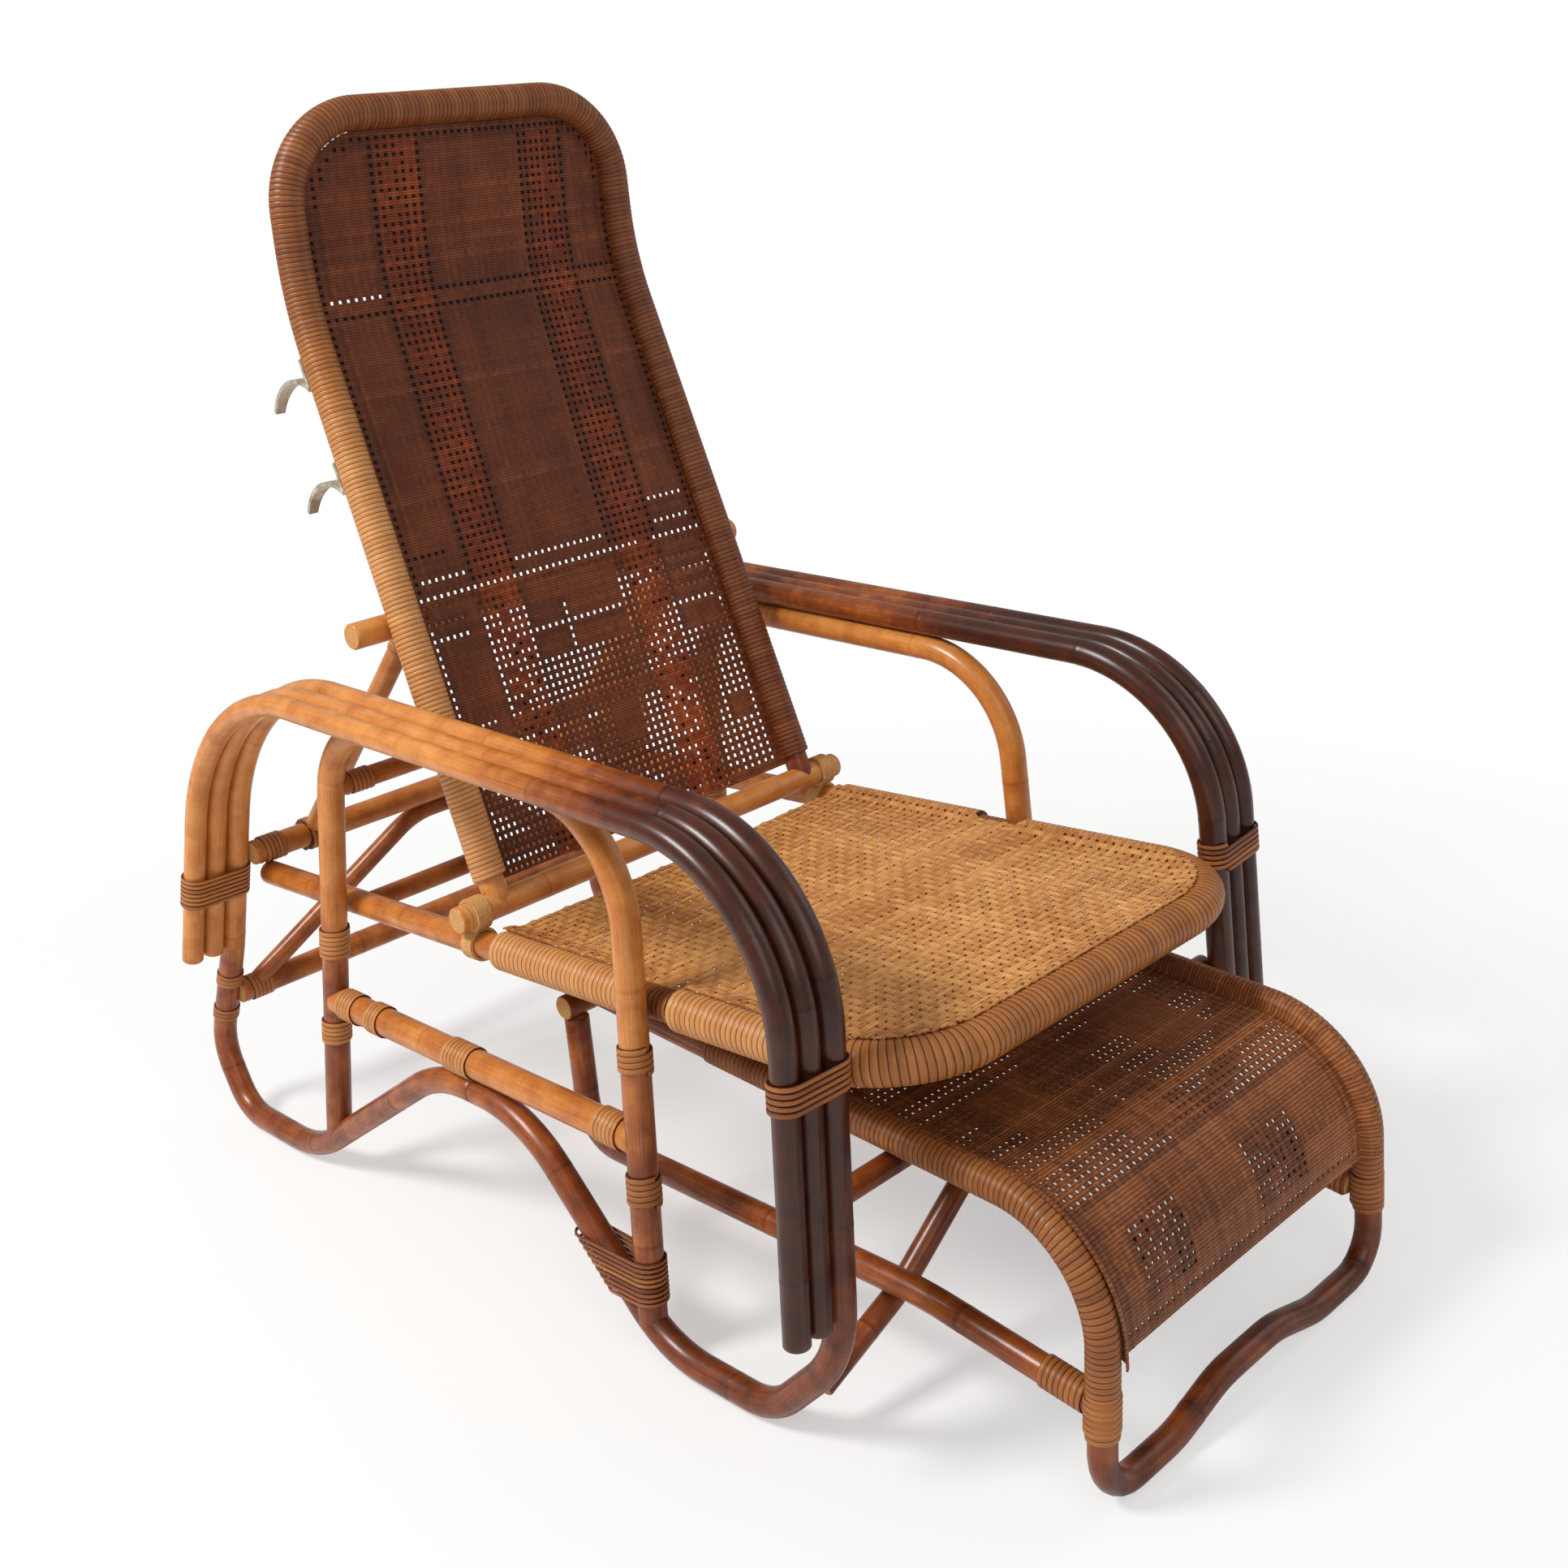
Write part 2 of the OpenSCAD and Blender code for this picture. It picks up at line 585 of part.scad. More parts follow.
// Figure-eight loop that holds the pivot bar down on the seat rail
module pivot_loop() {
    w = 16;
    color("wheat") difference() {
        union() {
            translate([seat_half_w, pivot_y, pivot_z]) rotate([0, 90, 0])
                cylinder(h = w, r = pivot_r + loop_t, center = true, $fn = cane_fn);
            translate([seat_half_w, pivot_y, seat_z(pivot_y)]) rotate([-90 - seat_tilt, 0, 0])
                cylinder(h = w, r = seat_cane_d / 2 + loop_t, center = true, $fn = cane_fn);
        }
        translate([seat_half_w, pivot_y, pivot_z]) rotate([0, 90, 0])
            cylinder(h = 2 * w, r = pivot_r + running_fit, center = true, $fn = cane_fn);
        translate([seat_half_w, pivot_y, seat_z(pivot_y)]) rotate([-90 - seat_tilt, 0, 0])
            cylinder(h = 4 * w, r = seat_cane_d / 2 + seat_fit, center = true, $fn = cane_fn);
    }
}

module pivot_bar() {
    color("burlywood") crossbar(pivot_y, pivot_z, pivot_half_l, pivot_r);
}

function back_line() = concat(flipped(back_path), reversed(back_path));
back_radii = [back_bend_r, back_corner_r, back_corner_r, back_bend_r];
module back_frame() {
    color("saddlebrown") difference() {
        rod(back_line(), back_radii, back_cane_d / 2);
        crossbar(pivot_y, pivot_z, pivot_half_l, pivot_r + seat_fit);
    }
}

module back_binding() {
    color("tan") difference() {
        sleeve(back_line(), back_radii, back_cane_d / 2, back_roll_r);
        crossbar(pivot_y, pivot_z, pivot_half_l, pivot_r + back_roll_r);
    }
}

// Woven panel in the plane of the back frame, bent with it and round at its top corners
module back_weave() {
    inner = back_roll_r + seat_fit;
    foot_w = back_foot_half_w - inner;
    top_w = back_top_half_w - inner;
    base_z = pivot_z + pivot_r + 8;
    top_z = back_top_z - inner;
    r = back_corner_r - inner;
    t = back_weave_t / 2;
    arc_c = [back_bend_y - back_bend_r, back_bend_z + back_bend_r * tan(back_lean / 2)];
    steps = 8;
    arc = [for (i = [0 : steps]) -back_lean * (1 - i / steps)];
    slack = [sin(back_lean), cos(back_lean)];
    low = [pivot_y, pivot_z] + slack * (pivot_r + 6);
    side = [cos(back_lean), -sin(back_lean)];
    front = concat([low - side * t], [for (a = arc) arc_c + (back_bend_r - t) * [cos(a), sin(a)]],
        [[back_bend_y - t, back_top_z]]);
    rear = concat([[back_bend_y + t, back_top_z]],
        [for (i = [steps : -1 : 0]) arc_c + (back_bend_r + t) * [cos(arc[i]), sin(arc[i])]],
        [low + side * t]);
    corner = [for (a = [0 : 9 : 90]) [top_w - r + r * cos(a), top_z - r + r * sin(a)]];
    outline = concat([[-foot_w, base_z], [foot_w, base_z]], corner,
        [for (q = reversed(corner)) [-q[0], q[1]]]);
    color("brown") intersection() {
        translate([-foot_w - 5, 0, 0]) rotate([90, 0, 90]) linear_extrude(2 * foot_w + 10)
            polygon(concat(front, rear));
        translate([0, back_bend_y + 50, 0]) rotate([90, 0, 0]) linear_extrude(back_bend_y + 100)
            polygon(outline);
    }
}

// Tapered strap that arches out from the rear of the back frame, over the bar below it
module hook(s) {
    place = back_path[0] + unit(back_path[1] - back_path[0]) * s;
    seat_u = back_roll_r + seat_fit;
    color("lightgray") translate(place) rotate([-back_lean, 0, 0]) {
        translate([-hook_w / 2 + 1, seat_u, hook_foot_s]) cube([hook_w - 2, hook_t, hook_foot_l]);
        intersection() {
            translate([-hook_w, seat_u + hook_r * sin(hook_half_turn), -hook_r]) rotate([90, 0, 90])
                rotate([0, 0, 90 - hook_half_turn + 0.5])
                    rotate_extrude(angle = 2 * hook_half_turn - 0.5, $fn = bend_fn)
                        translate([hook_r - hook_t, 0]) square([hook_t, 2 * hook_w]);
            translate([0, seat_u - 1, -hook_r]) linear_extrude(hook_r + 1)
                polygon([[-hook_w / 2, 0], [hook_w / 2, 0],
                    [hook_tip_w / 2, 2 * hook_r], [-hook_tip_w / 2, 2 * hook_r]]);
        }
    }
}

module prop_bar() {
    color("burlywood") crossbar(prop_y, prop_z, prop_half_l, prop_bar_d / 2);
}

// Strut from its eye on the upper rear bar to the prop bar
module prop_strut() {
    low = [prop_half_w, upper_bar_y, upper_bar_z];
    high = [prop_half_w, prop_y, prop_z];
    color("peru") difference() {
        straight(low, high, strut_d / 2);
        crossbar(upper_bar_y, upper_bar_z, cut_half_l, rear_bar_d / 2 + eye_t + seat_fit);
        crossbar(prop_y, prop_z, cut_half_l, prop_bar_d / 2 + seat_fit);
    }
}

// Eyes at the feet of the struts, turning on the upper rear bar
module prop_loops() {
    for (x = [-prop_half_w, prop_half_w])
        color("tan") translate([x, upper_bar_y, upper_bar_z]) rotate([0, 90, 0]) difference() {
            cylinder(h = eye_w, r = rear_bar_d / 2 + eye_t, center = true, $fn = cane_fn);
            cylinder(h = eye_w + 2, r = rear_bar_d / 2 + running_fit, center = true, $fn = cane_fn);
        }
}

// One long cane: rail, front leg, the wave across the floor, and back again
module footrest_frame() {
    color("sienna") rod(concat(foot_half_path, flipped(reversed(foot_half_path))),
        concat(foot_half_radii, reversed(foot_half_radii)), foot_r);
}

module footrest_binding() {
    leg = foot_half_path[2] - foot_half_path[1];
    end = foot_half_path[1]
        + leg * (foot_half_path[1][2] - foot_bound_z) / (foot_half_path[1][2] - foot_floor_z);
    color("peru") sleeve([[foot_half_w, foot_bound_y, foot_z_at(foot_bound_y)], foot_half_path[1], end],
        [foot_bend_r], foot_r, foot_roll_r);
}

// Woven panel over the top of the footrest, round its front bend and down to the lower edge
module footrest_weave() {
    w = foot_half_w - foot_roll_r - seat_fit;
    lower_edge = 125;
    corner = [foot_front_y, foot_z_at(foot_front_y)];
    turn_a = 90 - foot_tilt;
    t = foot_weave_t / 2;
    rise = [cos(foot_tilt), sin(foot_tilt)];
    centre = corner + rise * foot_bend_r * tan(turn_a / 2) + [sin(foot_tilt), -cos(foot_tilt)] * foot_bend_r;
    start = [foot_bound_y, foot_z_at(foot_bound_y)];
    out = [-sin(foot_tilt), cos(foot_tilt)];
    steps = 10;
    angles = [for (i = [0 : steps]) 90 + foot_tilt + turn_a * i / steps];
    upper = concat([start + out * t], [for (a = angles) centre + (foot_bend_r + t) * [cos(a), sin(a)]],
        [[corner[0] - t, lower_edge]]);
    lower = concat([[corner[0] + t, lower_edge]],
        [for (i = [steps : -1 : 0]) centre + (foot_bend_r - t) * [cos(angles[i]), sin(angles[i])]],
        [start - out * t]);
    color("saddlebrown") translate([-w, 0, 0]) rotate([90, 0, 90]) linear_extrude(2 * w)
        polygon(concat(upper, lower));
}

// Cane under the rear edge of the woven footrest
module footrest_weave_bar() {
    y = foot_bound_y - cross_r;
    color("sienna") crossbar(y, foot_z_at(y) - cross_r - foot_weave_t / 2 - seat_fit,
        foot_half_w - foot_roll_r - seat_fit, cross_r);
}

module footrest_rear_bar() {
    color("sienna") crossbar(rear_bar_y, rear_bar_z, foot_half_w + 14, foot_r);
}

// Rear post and lower rail in one cane, bent again before the front leg, to which it is cut
module footrest_stretcher() {
    top = rear_bar_z - foot_r - seat_fit;
    color("sienna") difference() {
        rod([[foot_half_w, rear_bar_y, top], [foot_half_w, rear_bar_y, foot_low_z],
            [foot_half_w, foot_low_bend_y, foot_low_z], [foot_half_w, foot_leg_y + 4, foot_low_end_z]],
            [foot_post_r, foot_low_bend_r], foot_r);
        straight(foot_half_path[1], foot_half_path[2], foot_roll_r + seat_fit);
    }
}

for (side = SIDES) {
    on_side(side) arm_cane(outer_w);
    on_side(side) arm_cane(middle_w);
    on_side(side) leg_loop();
    on_side(side) hoop();
    on_side(side) side_stretcher();
    on_side(side) stretcher_wraps();
    on_side(side) rear_leg_lashing();
    on_side(side) front_leg_lashing();
    on_side(side) post_foot_lashing();
    on_side(side) pivot_loop();
    on_side(side) hook(upper_hook_s);
    on_side(side) hook(lower_hook_s);
    on_side(side) prop_strut();
    on_side(side) footrest_binding();
    on_side(side) footrest_stretcher();
}
placed() seat_frame();
placed() seat_binding();
placed() seat_rear_bar();
placed() seat_weave();
placed() rear_upper_bar();
placed() rear_lower_bar();
placed() rear_arch();
placed() hoop_bar();
placed() rail_bar();
placed() front_bar();
placed() front_arch();
placed() pivot_bar();
placed() back_frame();
placed() back_binding();
placed() back_weave();
placed() prop_bar();
placed() prop_loops();
placed() footrest_frame();
placed() footrest_weave();
placed() footrest_weave_bar();
placed() footrest_rear_bar();
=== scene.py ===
"""Looks of the rattan lounge chair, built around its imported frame."""
import logging
import math
import random
from dataclasses import dataclass
from enum import Enum
from typing import Callable, Sequence

import bmesh
import bpy
from mathutils import Matrix, Vector, noise

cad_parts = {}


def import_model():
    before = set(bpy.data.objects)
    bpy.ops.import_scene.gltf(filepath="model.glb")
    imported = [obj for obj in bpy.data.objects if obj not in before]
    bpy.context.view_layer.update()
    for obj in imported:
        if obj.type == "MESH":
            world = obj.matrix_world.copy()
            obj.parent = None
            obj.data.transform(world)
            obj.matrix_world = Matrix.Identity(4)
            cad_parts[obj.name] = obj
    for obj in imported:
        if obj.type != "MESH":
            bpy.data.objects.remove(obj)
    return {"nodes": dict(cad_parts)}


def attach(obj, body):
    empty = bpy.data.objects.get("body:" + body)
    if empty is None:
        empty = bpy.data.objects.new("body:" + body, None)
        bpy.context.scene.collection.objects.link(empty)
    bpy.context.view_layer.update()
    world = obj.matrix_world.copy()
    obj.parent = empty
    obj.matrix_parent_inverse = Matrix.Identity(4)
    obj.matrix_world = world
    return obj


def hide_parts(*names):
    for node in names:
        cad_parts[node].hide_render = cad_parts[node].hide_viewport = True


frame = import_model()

LOG = logging.getLogger("lounge_chair")
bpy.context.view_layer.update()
MM = 0.001
# The part's own shift of the working frame along Y, in millimetres
MIDDLE_Y = -0.795947
TAU = 2 * math.pi
Tone = Callable[[Vector], float]
Stops = Sequence[tuple[float, str]]


class Slot(Enum):
    """Material slot names."""

    HONEY = "honey_cane"
    DARK = "dark_cane"
    BINDING = "cane_binding"
    PALE = "pale_binding"
    SEAT = "seat_weave"
    BACK = "back_weave"
    FOOT = "footrest_weave"
    METAL = "hook_metal"


class Side(Enum):
    """The two sides of the chair, with the sign of their X."""

    RIGHT = -1
    LEFT = 1

    @property
    def word(self) -> str:
        """The side's name in lower case."""
        return self.name.lower()


class Weave(Enum):
    """How a patch of a woven panel is made."""

    CLOSED = 0
    OPEN = 1
    MIXED = 2
    POCKET = 3


def linear(hex_colour: str) -> tuple[float, float, float, float]:
    """Turns an sRGB hex colour into linear RGBA.

    Args:
        hex_colour: Six hex digits after a hash sign.

    Returns:
        Linear red, green, blue and an alpha of one.
    """
    parts = [int(hex_colour[i:i + 2], 16) / 255 for i in (1, 3, 5)]
    red, green, blue = (p / 12.92 if p <= 0.04045 else ((p + 0.055) / 1.055) ** 2.4 for p in parts)
    return red, green, blue, 1.0


class Graph:
    """Shader nodes of one material or world, with short calls for what the finishes share."""

    def __init__(self, owner: bpy.types.Material | bpy.types.World) -> None:
        """Clears the owner's nodes."""
        owner.use_nodes = True
        self.owner = owner
        self.tree = owner.node_tree
        self.tree.nodes.clear()

    def add(self, kind: str, settings: dict, output: int | str = 0) -> bpy.types.NodeSocket | None:
        """Adds one shader node with its settings and links.

        Args:
            kind: Type name of the node.
            settings: Attributes by name, or inputs by name or number, where another node's output is linked.
            output: Name or number of the output to give back.

        Returns:
            That output, or nothing for a node without outputs.
        """
        node = self.tree.nodes.new(kind)
        for key, value in settings.items():
            if isinstance(value, bpy.types.NodeSocket):
                self.tree.links.new(value, node.inputs[key])
            elif isinstance(key, str) and hasattr(node, key):
                setattr(node, key, value)
            else:
                node.inputs[key].default_value = value
        return node.outputs[output] if node.outputs else None

    def attribute(self, name: str) -> bpy.types.NodeSocket:
        """Reads a number that the mesh carries."""
        return self.add("ShaderNodeAttribute", {"attribute_name": name}, "Fac")

    def spot(self) -> bpy.types.NodeSocket:
        """Reads the place in the object, in metres."""
        return self.add("ShaderNodeTexCoord", {}, "Object")

    def uv(self) -> bpy.types.NodeSocket:
        """Reads the place on the unrolled surface, in metres."""
        return self.add("ShaderNodeUVMap", {"uv_map": "UVMap"})

    def grain(self, size_mm: float, detail: float, roughness: float = 0.5) -> bpy.types.NodeSocket:
        """Makes even noise of a real size."""
        return self.add("ShaderNodeTexNoise", {"Scale": 1 / (size_mm * MM), "Detail": detail, "Roughness": roughness,
                                               "Vector": self.spot()}, "Fac")

    def fibres(self, u_mm: float, v_mm: float, detail: float, roughness: float = 0.5) -> bpy.types.NodeSocket:
        """Makes noise drawn out along the unrolled surface, with a real size each way."""
        lines = self.add("ShaderNodeMapping", {"Scale": (1 / (u_mm * MM), 1 / (v_mm * MM), 1.0), "Vector": self.uv()})
        return self.add("ShaderNodeTexNoise", {"Scale": 1.0, "Detail": detail, "Roughness": roughness,
                                               "Vector": lines}, "Fac")

    def calc(self, operation: str, *inputs: float | bpy.types.NodeSocket, clamp: bool = False) -> bpy.types.NodeSocket:
        """Adds one arithmetic node over its inputs in order."""
        return self.add("ShaderNodeMath", {"operation": operation, "use_clamp": clamp, **dict(enumerate(inputs))})

    def darkness(self, knot_gain: float,
                 swings: Sequence[tuple[bpy.types.NodeSocket, float]]) -> bpy.types.NodeSocket:
        """Adds up how dark each place is.

        Args:
            knot_gain: What a full knot, or a full groove or dip of painted shade, adds to the mesh's own tone.
            swings: Patterns from zero to one, each with the width by which it swings the tone.

        Returns:
            The darkness from zero to one.
        """
        total = None
        for source, width in swings:
            swing = self.calc("MULTIPLY_ADD", source, width, -width / 2)
            total = swing if total is None else self.calc("ADD", total, swing)
        own = self.calc("MULTIPLY_ADD", self.attribute("knot"), knot_gain, self.attribute("tone"))
        return self.calc("ADD", total, own, clamp=True)

    def ramp(self, source: bpy.types.NodeSocket, stops: Stops) -> bpy.types.NodeSocket:
        """Adds a colour ramp.

        Args:
            source: Factor of the ramp.
            stops: Position and hex colour of each stop.

        Returns:
            The colour output.
        """
        colour = self.add("ShaderNodeValToRGB", {0: source}, "Color")
        elements = colour.node.color_ramp.elements
        while len(elements) < len(stops):
            elements.new(1.0)
        for element, (position, hex_colour) in zip(elements, stops):
            element.position = position
            element.color = linear(hex_colour)
        return colour

    def skin(self, colour: bpy.types.NodeSocket, height: bpy.types.NodeSocket, bump: tuple[float, float],
             settings: dict) -> bpy.types.Material:
        """Ends a material with its surface.

        Args:
            colour: Base colour.
            height: Pattern that the bump follows.
            bump: Strength of the bump, and its depth in millimetres.
            settings: Further inputs of the surface.

        Returns:
            The finished material.
        """
        normal = self.add("ShaderNodeBump", {"Strength": bump[0], "Distance": bump[1] * MM, "Height": height})
        return self.finish("ShaderNodeOutputMaterial", self.add(
            "ShaderNodeBsdfPrincipled", {"Base Color": colour, "Normal": normal, **settings}))

    def finish(self, kind: str, shader: bpy.types.NodeSocket) -> bpy.types.Material | bpy.types.World:
        """Ends the graph with its output node and gives back its owner."""
        self.add(kind, {"Surface": shader})
        return self.owner


@dataclass(frozen=True)
class CaneFinish:
    """Peeled rattan cane, scorched in bands and varnished to a satin shine."""

    name: str = "varnished_rattan_cane"
    # From sunlit honey through chestnut to the scorched bends
    stops: Stops = ((0.0, "#DE9850"), (0.28, "#B86C2C"), (0.5, "#84401A"), (0.72, "#4C200E"), (1.0, "#240E07"))
    # Roughness goes from one to the other with the mottling
    roughness: tuple[float, float] = (0.22, 0.44)
    coat: float = 0.24
    # Fibre lines lie about 1.2 mm apart round the cane and run for some 60 mm
    fibre_mm: float = 1.2
    fibre_run_mm: float = 60.0
    fibre_swing: float = 0.36
    mottle_mm: float = 32.0
    mottle_swing: float = 0.6
    knot_gain: float = 0.1
    bump: tuple[float, float] = (0.25, 0.25)

    def build(self) -> bpy.types.Material:
        """Makes the cane material: mottled varnish over fine lengthwise fibres, darker at each node."""
        graph = Graph(bpy.data.materials.new(self.name))
        fibre = graph.fibres(self.fibre_mm, self.fibre_run_mm, 3.0, 0.6)
        mottle = graph.grain(self.mottle_mm, 4.0, 0.62)
        dark = graph.darkness(self.knot_gain, ((mottle, self.mottle_swing), (fibre, self.fibre_swing)))
        gloss = graph.add("ShaderNodeMapRange", {"To Min": self.roughness[0], "To Max": self.roughness[1],
                                                 "Value": mottle})
        return graph.skin(graph.ramp(dark, self.stops), fibre, self.bump, {
            "Roughness": gloss, "Coat Weight": self.coat, "Coat Roughness": 0.2, "Specular IOR Level": 0.3})


@dataclass(frozen=True)
class EndGrainFinish:
    """Sawn rattan end: pale straw pith with open pores. The pivot loops share its colour."""

    name: str = "sawn_rattan_end"
    stops: Stops = ((0.0, "#7A4A22"), (0.35, "#C08A4C"), (1.0, "#D2A063"))
    # Pores of about 0.8 mm are drawn at 1.5 mm so that they show
    pore_mm: float = 1.5
    bump: tuple[float, float] = (0.5, 0.4)

    def build(self) -> bpy.types.Material:
        """Makes the pale, dry, porous end of a sawn cane."""
        graph = Graph(bpy.data.materials.new(self.name))
        pores = graph.add("ShaderNodeTexVoronoi", {"Scale": 1 / (self.pore_mm * MM), "Vector": graph.spot()},
                          "Distance")
        return graph.skin(graph.ramp(pores, self.stops), pores, self.bump, {"Roughness": 0.75})


@dataclass(frozen=True)
class StripFinish:
    """Split rattan peel wound as a flat strip, with its glossy skin outwards."""

    name: str = "wound_rattan_peel"
    stops: Stops = ((0.0, "#DDA468"), (0.3, "#B06F34"), (0.6, "#6E3617"), (1.0, "#2C1209"))
    roughness: float = 0.44
    # Fibres run along the strip for some 30 mm, about 0.9 mm apart
    fibre_mm: float = 0.9
    fibre_run_mm: float = 30.0
    fibre_swing: float = 0.3
    # Painted shade in the grooves between turns
    groove_gain: float = 0.55
    bump: tuple[float, float] = (0.3, 0.2)

    def build(self) -> bpy.types.Material:
        """Makes the strip material: each turn a little different, with painted shade in the grooves between turns."""
        graph = Graph(bpy.data.materials.new(self.name))
        fibre = graph.fibres(self.fibre_run_mm, self.fibre_mm, 2.0)
        dark = graph.darkness(self.groove_gain, ((fibre, self.fibre_swing),))
        return graph.skin(graph.ramp(dark, self.stops), fibre, self.bump, {
            "Roughness": self.roughness, "Coat Weight": 0.1, "Coat Roughness": 0.3, "Specular IOR Level": 0.3})


@dataclass(frozen=True)
class WovenFinish:
    """Woven rattan core and peel, stained and varnished, with painted shade where strands dip under."""

    name: str
    plain: Sequence[str]
    # Colours of the mixed weave, where they differ from those of the rest
    mixed: Sequence[str] = ()
    # Ribs of the close weave lie about this far apart
    rib_mm: float = 2.7
    rib_swing: float = -0.3
    patch_mm: float = 80.0
    patch_swing: float = 0.7
    # Painted shade where a strand dips under its neighbour
    dip_gain: float = 0.45
    positions: Sequence[float] = (0.0, 0.35, 0.7, 1.0)
    roughness: float = 0.5
    bump: tuple[float, float] = (0.6, 0.5)

    def build(self) -> bpy.types.Material:
        """Makes the woven material: tone by strand, fine ribs on close weave, painted shade at the crossings."""
        graph = Graph(bpy.data.materials.new(self.name))
        rib = graph.add("ShaderNodeTexWave", {
            "bands_direction": "Y", "wave_profile": "SIN", "Scale": 1 / (self.rib_mm * MM) / 3.14, "Distortion": 1.2,
            "Detail": 2.0, "Detail Scale": 1.5, "Vector": graph.uv()}, "Fac")
        patch = graph.grain(self.patch_mm, 5.0, 0.7)
        dark = graph.darkness(self.dip_gain, ((patch, self.patch_swing), (rib, self.rib_swing)))
        plain, mixed = (graph.ramp(dark, tuple(zip(self.positions, colours)))
                        for colours in (self.plain, self.mixed or self.plain))
        # Inputs 6 and 7 and output 2 are the colours of a mix node
        colour = graph.add("ShaderNodeMix", {"data_type": "RGBA", 0: graph.attribute("style"), 6: plain, 7: mixed}, 2)
        return graph.skin(colour, rib, self.bump, {
            "Roughness": self.roughness, "Coat Weight": 0.05, "Coat Roughness": 0.35, "Specular IOR Level": 0.22})


@dataclass(frozen=True)
class HookFinish:
    """Cast aluminium strap, dulled, with brown patches that are a painted reflection of the cane around it."""

    name: str = "dull_cast_aluminium"
    # Pale metal into brown; the brown is painted reflection
    stops: Stops = ((0.3, "#D9D3C4"), (0.55, "#B9AC94"), (0.75, "#8A7454"))
    # Casting grit of about 1.5 mm, and brown patches of about 14 mm that are a painted reflection of the cane
    grit_mm: float = 1.5
    stain_mm: float = 14.0
    bump: tuple[float, float] = (0.3, 0.2)

    def build(self) -> bpy.types.Material:
        """Makes the dull pale metal of the hooks."""
        graph = Graph(bpy.data.materials.new(self.name))
        colour = graph.ramp(graph.grain(self.stain_mm, 3.0), self.stops)
        return graph.skin(colour, graph.grain(self.grit_mm, 3.0), self.bump, {"Metallic": 0.55, "Roughness": 0.42})


class Finishes:
    """Every material of the chair, made once."""

    def __init__(self) -> None:
        """Builds the materials."""
        self.cane = CaneFinish().build()
        self.end = EndGrainFinish().build()
        self.strip = StripFinish().build()
        self.metal = HookFinish().build()
        self.seat = WovenFinish("golden_twill_weave", ("#E0A765", "#B97A42", "#7E4722", "#2E170B"), rib_mm=3.0).build()
        self.back = WovenFinish("stained_back_weave", ("#96562A", "#6C3316", "#47200E", "#1C0A05"),
                                ("#C26A2E", "#8A3C14", "#54200B", "#1C0A05")).build()
        self.foot = WovenFinish("stained_footrest_weave", ("#AE6C3C", "#78421F", "#4A2410", "#1E0C06"),
                                rib_mm=3.4).build()


class Line:
    """A smooth centreline in millimetres with a frame that doesn't twist."""

    def __init__(self, points: Sequence[Vector], spacing: float = 2.0) -> None:
        """Resamples the points evenly.

        Args:
            points: Points along the centreline.
            spacing: Distance between samples.
        """
        lengths = [0.0]
        for a, b in zip(points, points[1:]):
            lengths.append(lengths[-1] + (b - a).length)
        self.length = lengths[-1]
        count = max(2, round(self.length / spacing))
        self.spacing = self.length / count
        self.points: list[Vector] = []
        k = 0
        for i in range(count + 1):
            s = min(i * self.spacing, self.length)
            while k < len(points) - 2 and lengths[k + 1] < s:
                k += 1
            run = lengths[k + 1] - lengths[k]
            self.points.append(points[k].lerp(points[k + 1], (s - lengths[k]) / run if run else 0.0))
        self.tangents = [(self.points[min(i + 1, count)] - self.points[max(i - 1, 0)]).normalized()
                         for i in range(count + 1)]
        first = self.tangents[0]
        side = Vector((0, 0, -1)) if abs(first.z) < 0.9 else Vector((0, 1, 0))
        normal = (side - first * side.dot(first)).normalized()
        self.normals = [normal]
        for tangent in self.tangents[1:]:
            normal = (normal - tangent * normal.dot(tangent)).normalized()
            self.normals.append(normal)

    def at(self, s: float) -> tuple[Vector, Vector, Vector]:
        """Finds the point and its two side directions at a distance along the line.

        Args:
            s: Distance from the start in millimetres.

        Returns:
            The point, the normal and the direction square to both normal and line.
        """
        k = min(max(s, 0.0), self.length) / self.spacing
        i = min(int(k), len(self.points) - 2)
        part = k - i
        point = self.points[i].lerp(self.points[i + 1], part)
        normal = self.normals[i].lerp(self.normals[i + 1], part).normalized()
        tangent = self.tangents[i].lerp(self.tangents[i + 1], part).normalized()
        if s < 0 or s > self.length:
            point = point + tangent * (s - min(max(s, 0.0), self.length))
        return point, normal, tangent.cross(normal)

    def heading(self, s: float) -> Vector:
        """Direction of the line at the sample below a distance along it."""
        return self.tangents[min(len(self.tangents) - 1, max(0, int(s / self.spacing)))]


def bent_line(corners: Sequence[Vector], radii: Sequence[float], step: float = 5.0) -> Line:
    """Joins corners with straight runs and round bends.

    Args:
        corners: The path's corners in millimetres.
        radii: Bend radius at each inner corner.
        step: Length of the chords in a bend.

    Returns:
        The finished centreline.
    """
    points = [corners[0]]
    for a, b, c, radius in zip(corners, corners[1:], corners[2:], radii):
        u, v = (b - a).normalized(), (c - b).normalized()
        angle = u.angle(v)
        if angle < 1e-4:
            continue
        start = b - u * radius * math.tan(angle / 2)
        centre = b + (v - u).normalized() * radius / math.cos(angle / 2)
        axis = u.cross(v).normalized()
        count = max(3, math.ceil(angle * radius / step))
        points += [centre + Matrix.Rotation(angle * k / count, 3, axis) @ (start - centre) for k in range(count + 1)]
    points.append(corners[-1])
    return Line(points)


def straight(a: Sequence[float], b: Sequence[float]) -> Line:
    """Makes a straight line between two points in millimetres."""
    return Line([Vector(a), Vector(b)])


def mirrored(points: Sequence[Vector]) -> list[Vector]:
    """Mirrors points in the middle of the chair and turns their order round."""
    return [Vector((-p.x, p.y, p.z)) for p in reversed(points)]


def world(p: Vector) -> Vector:
    """Moves a point of the working frame in millimetres into the row frame in metres."""
    return Vector((p.x, p.y - MIDDLE_Y, p.z)) * MM


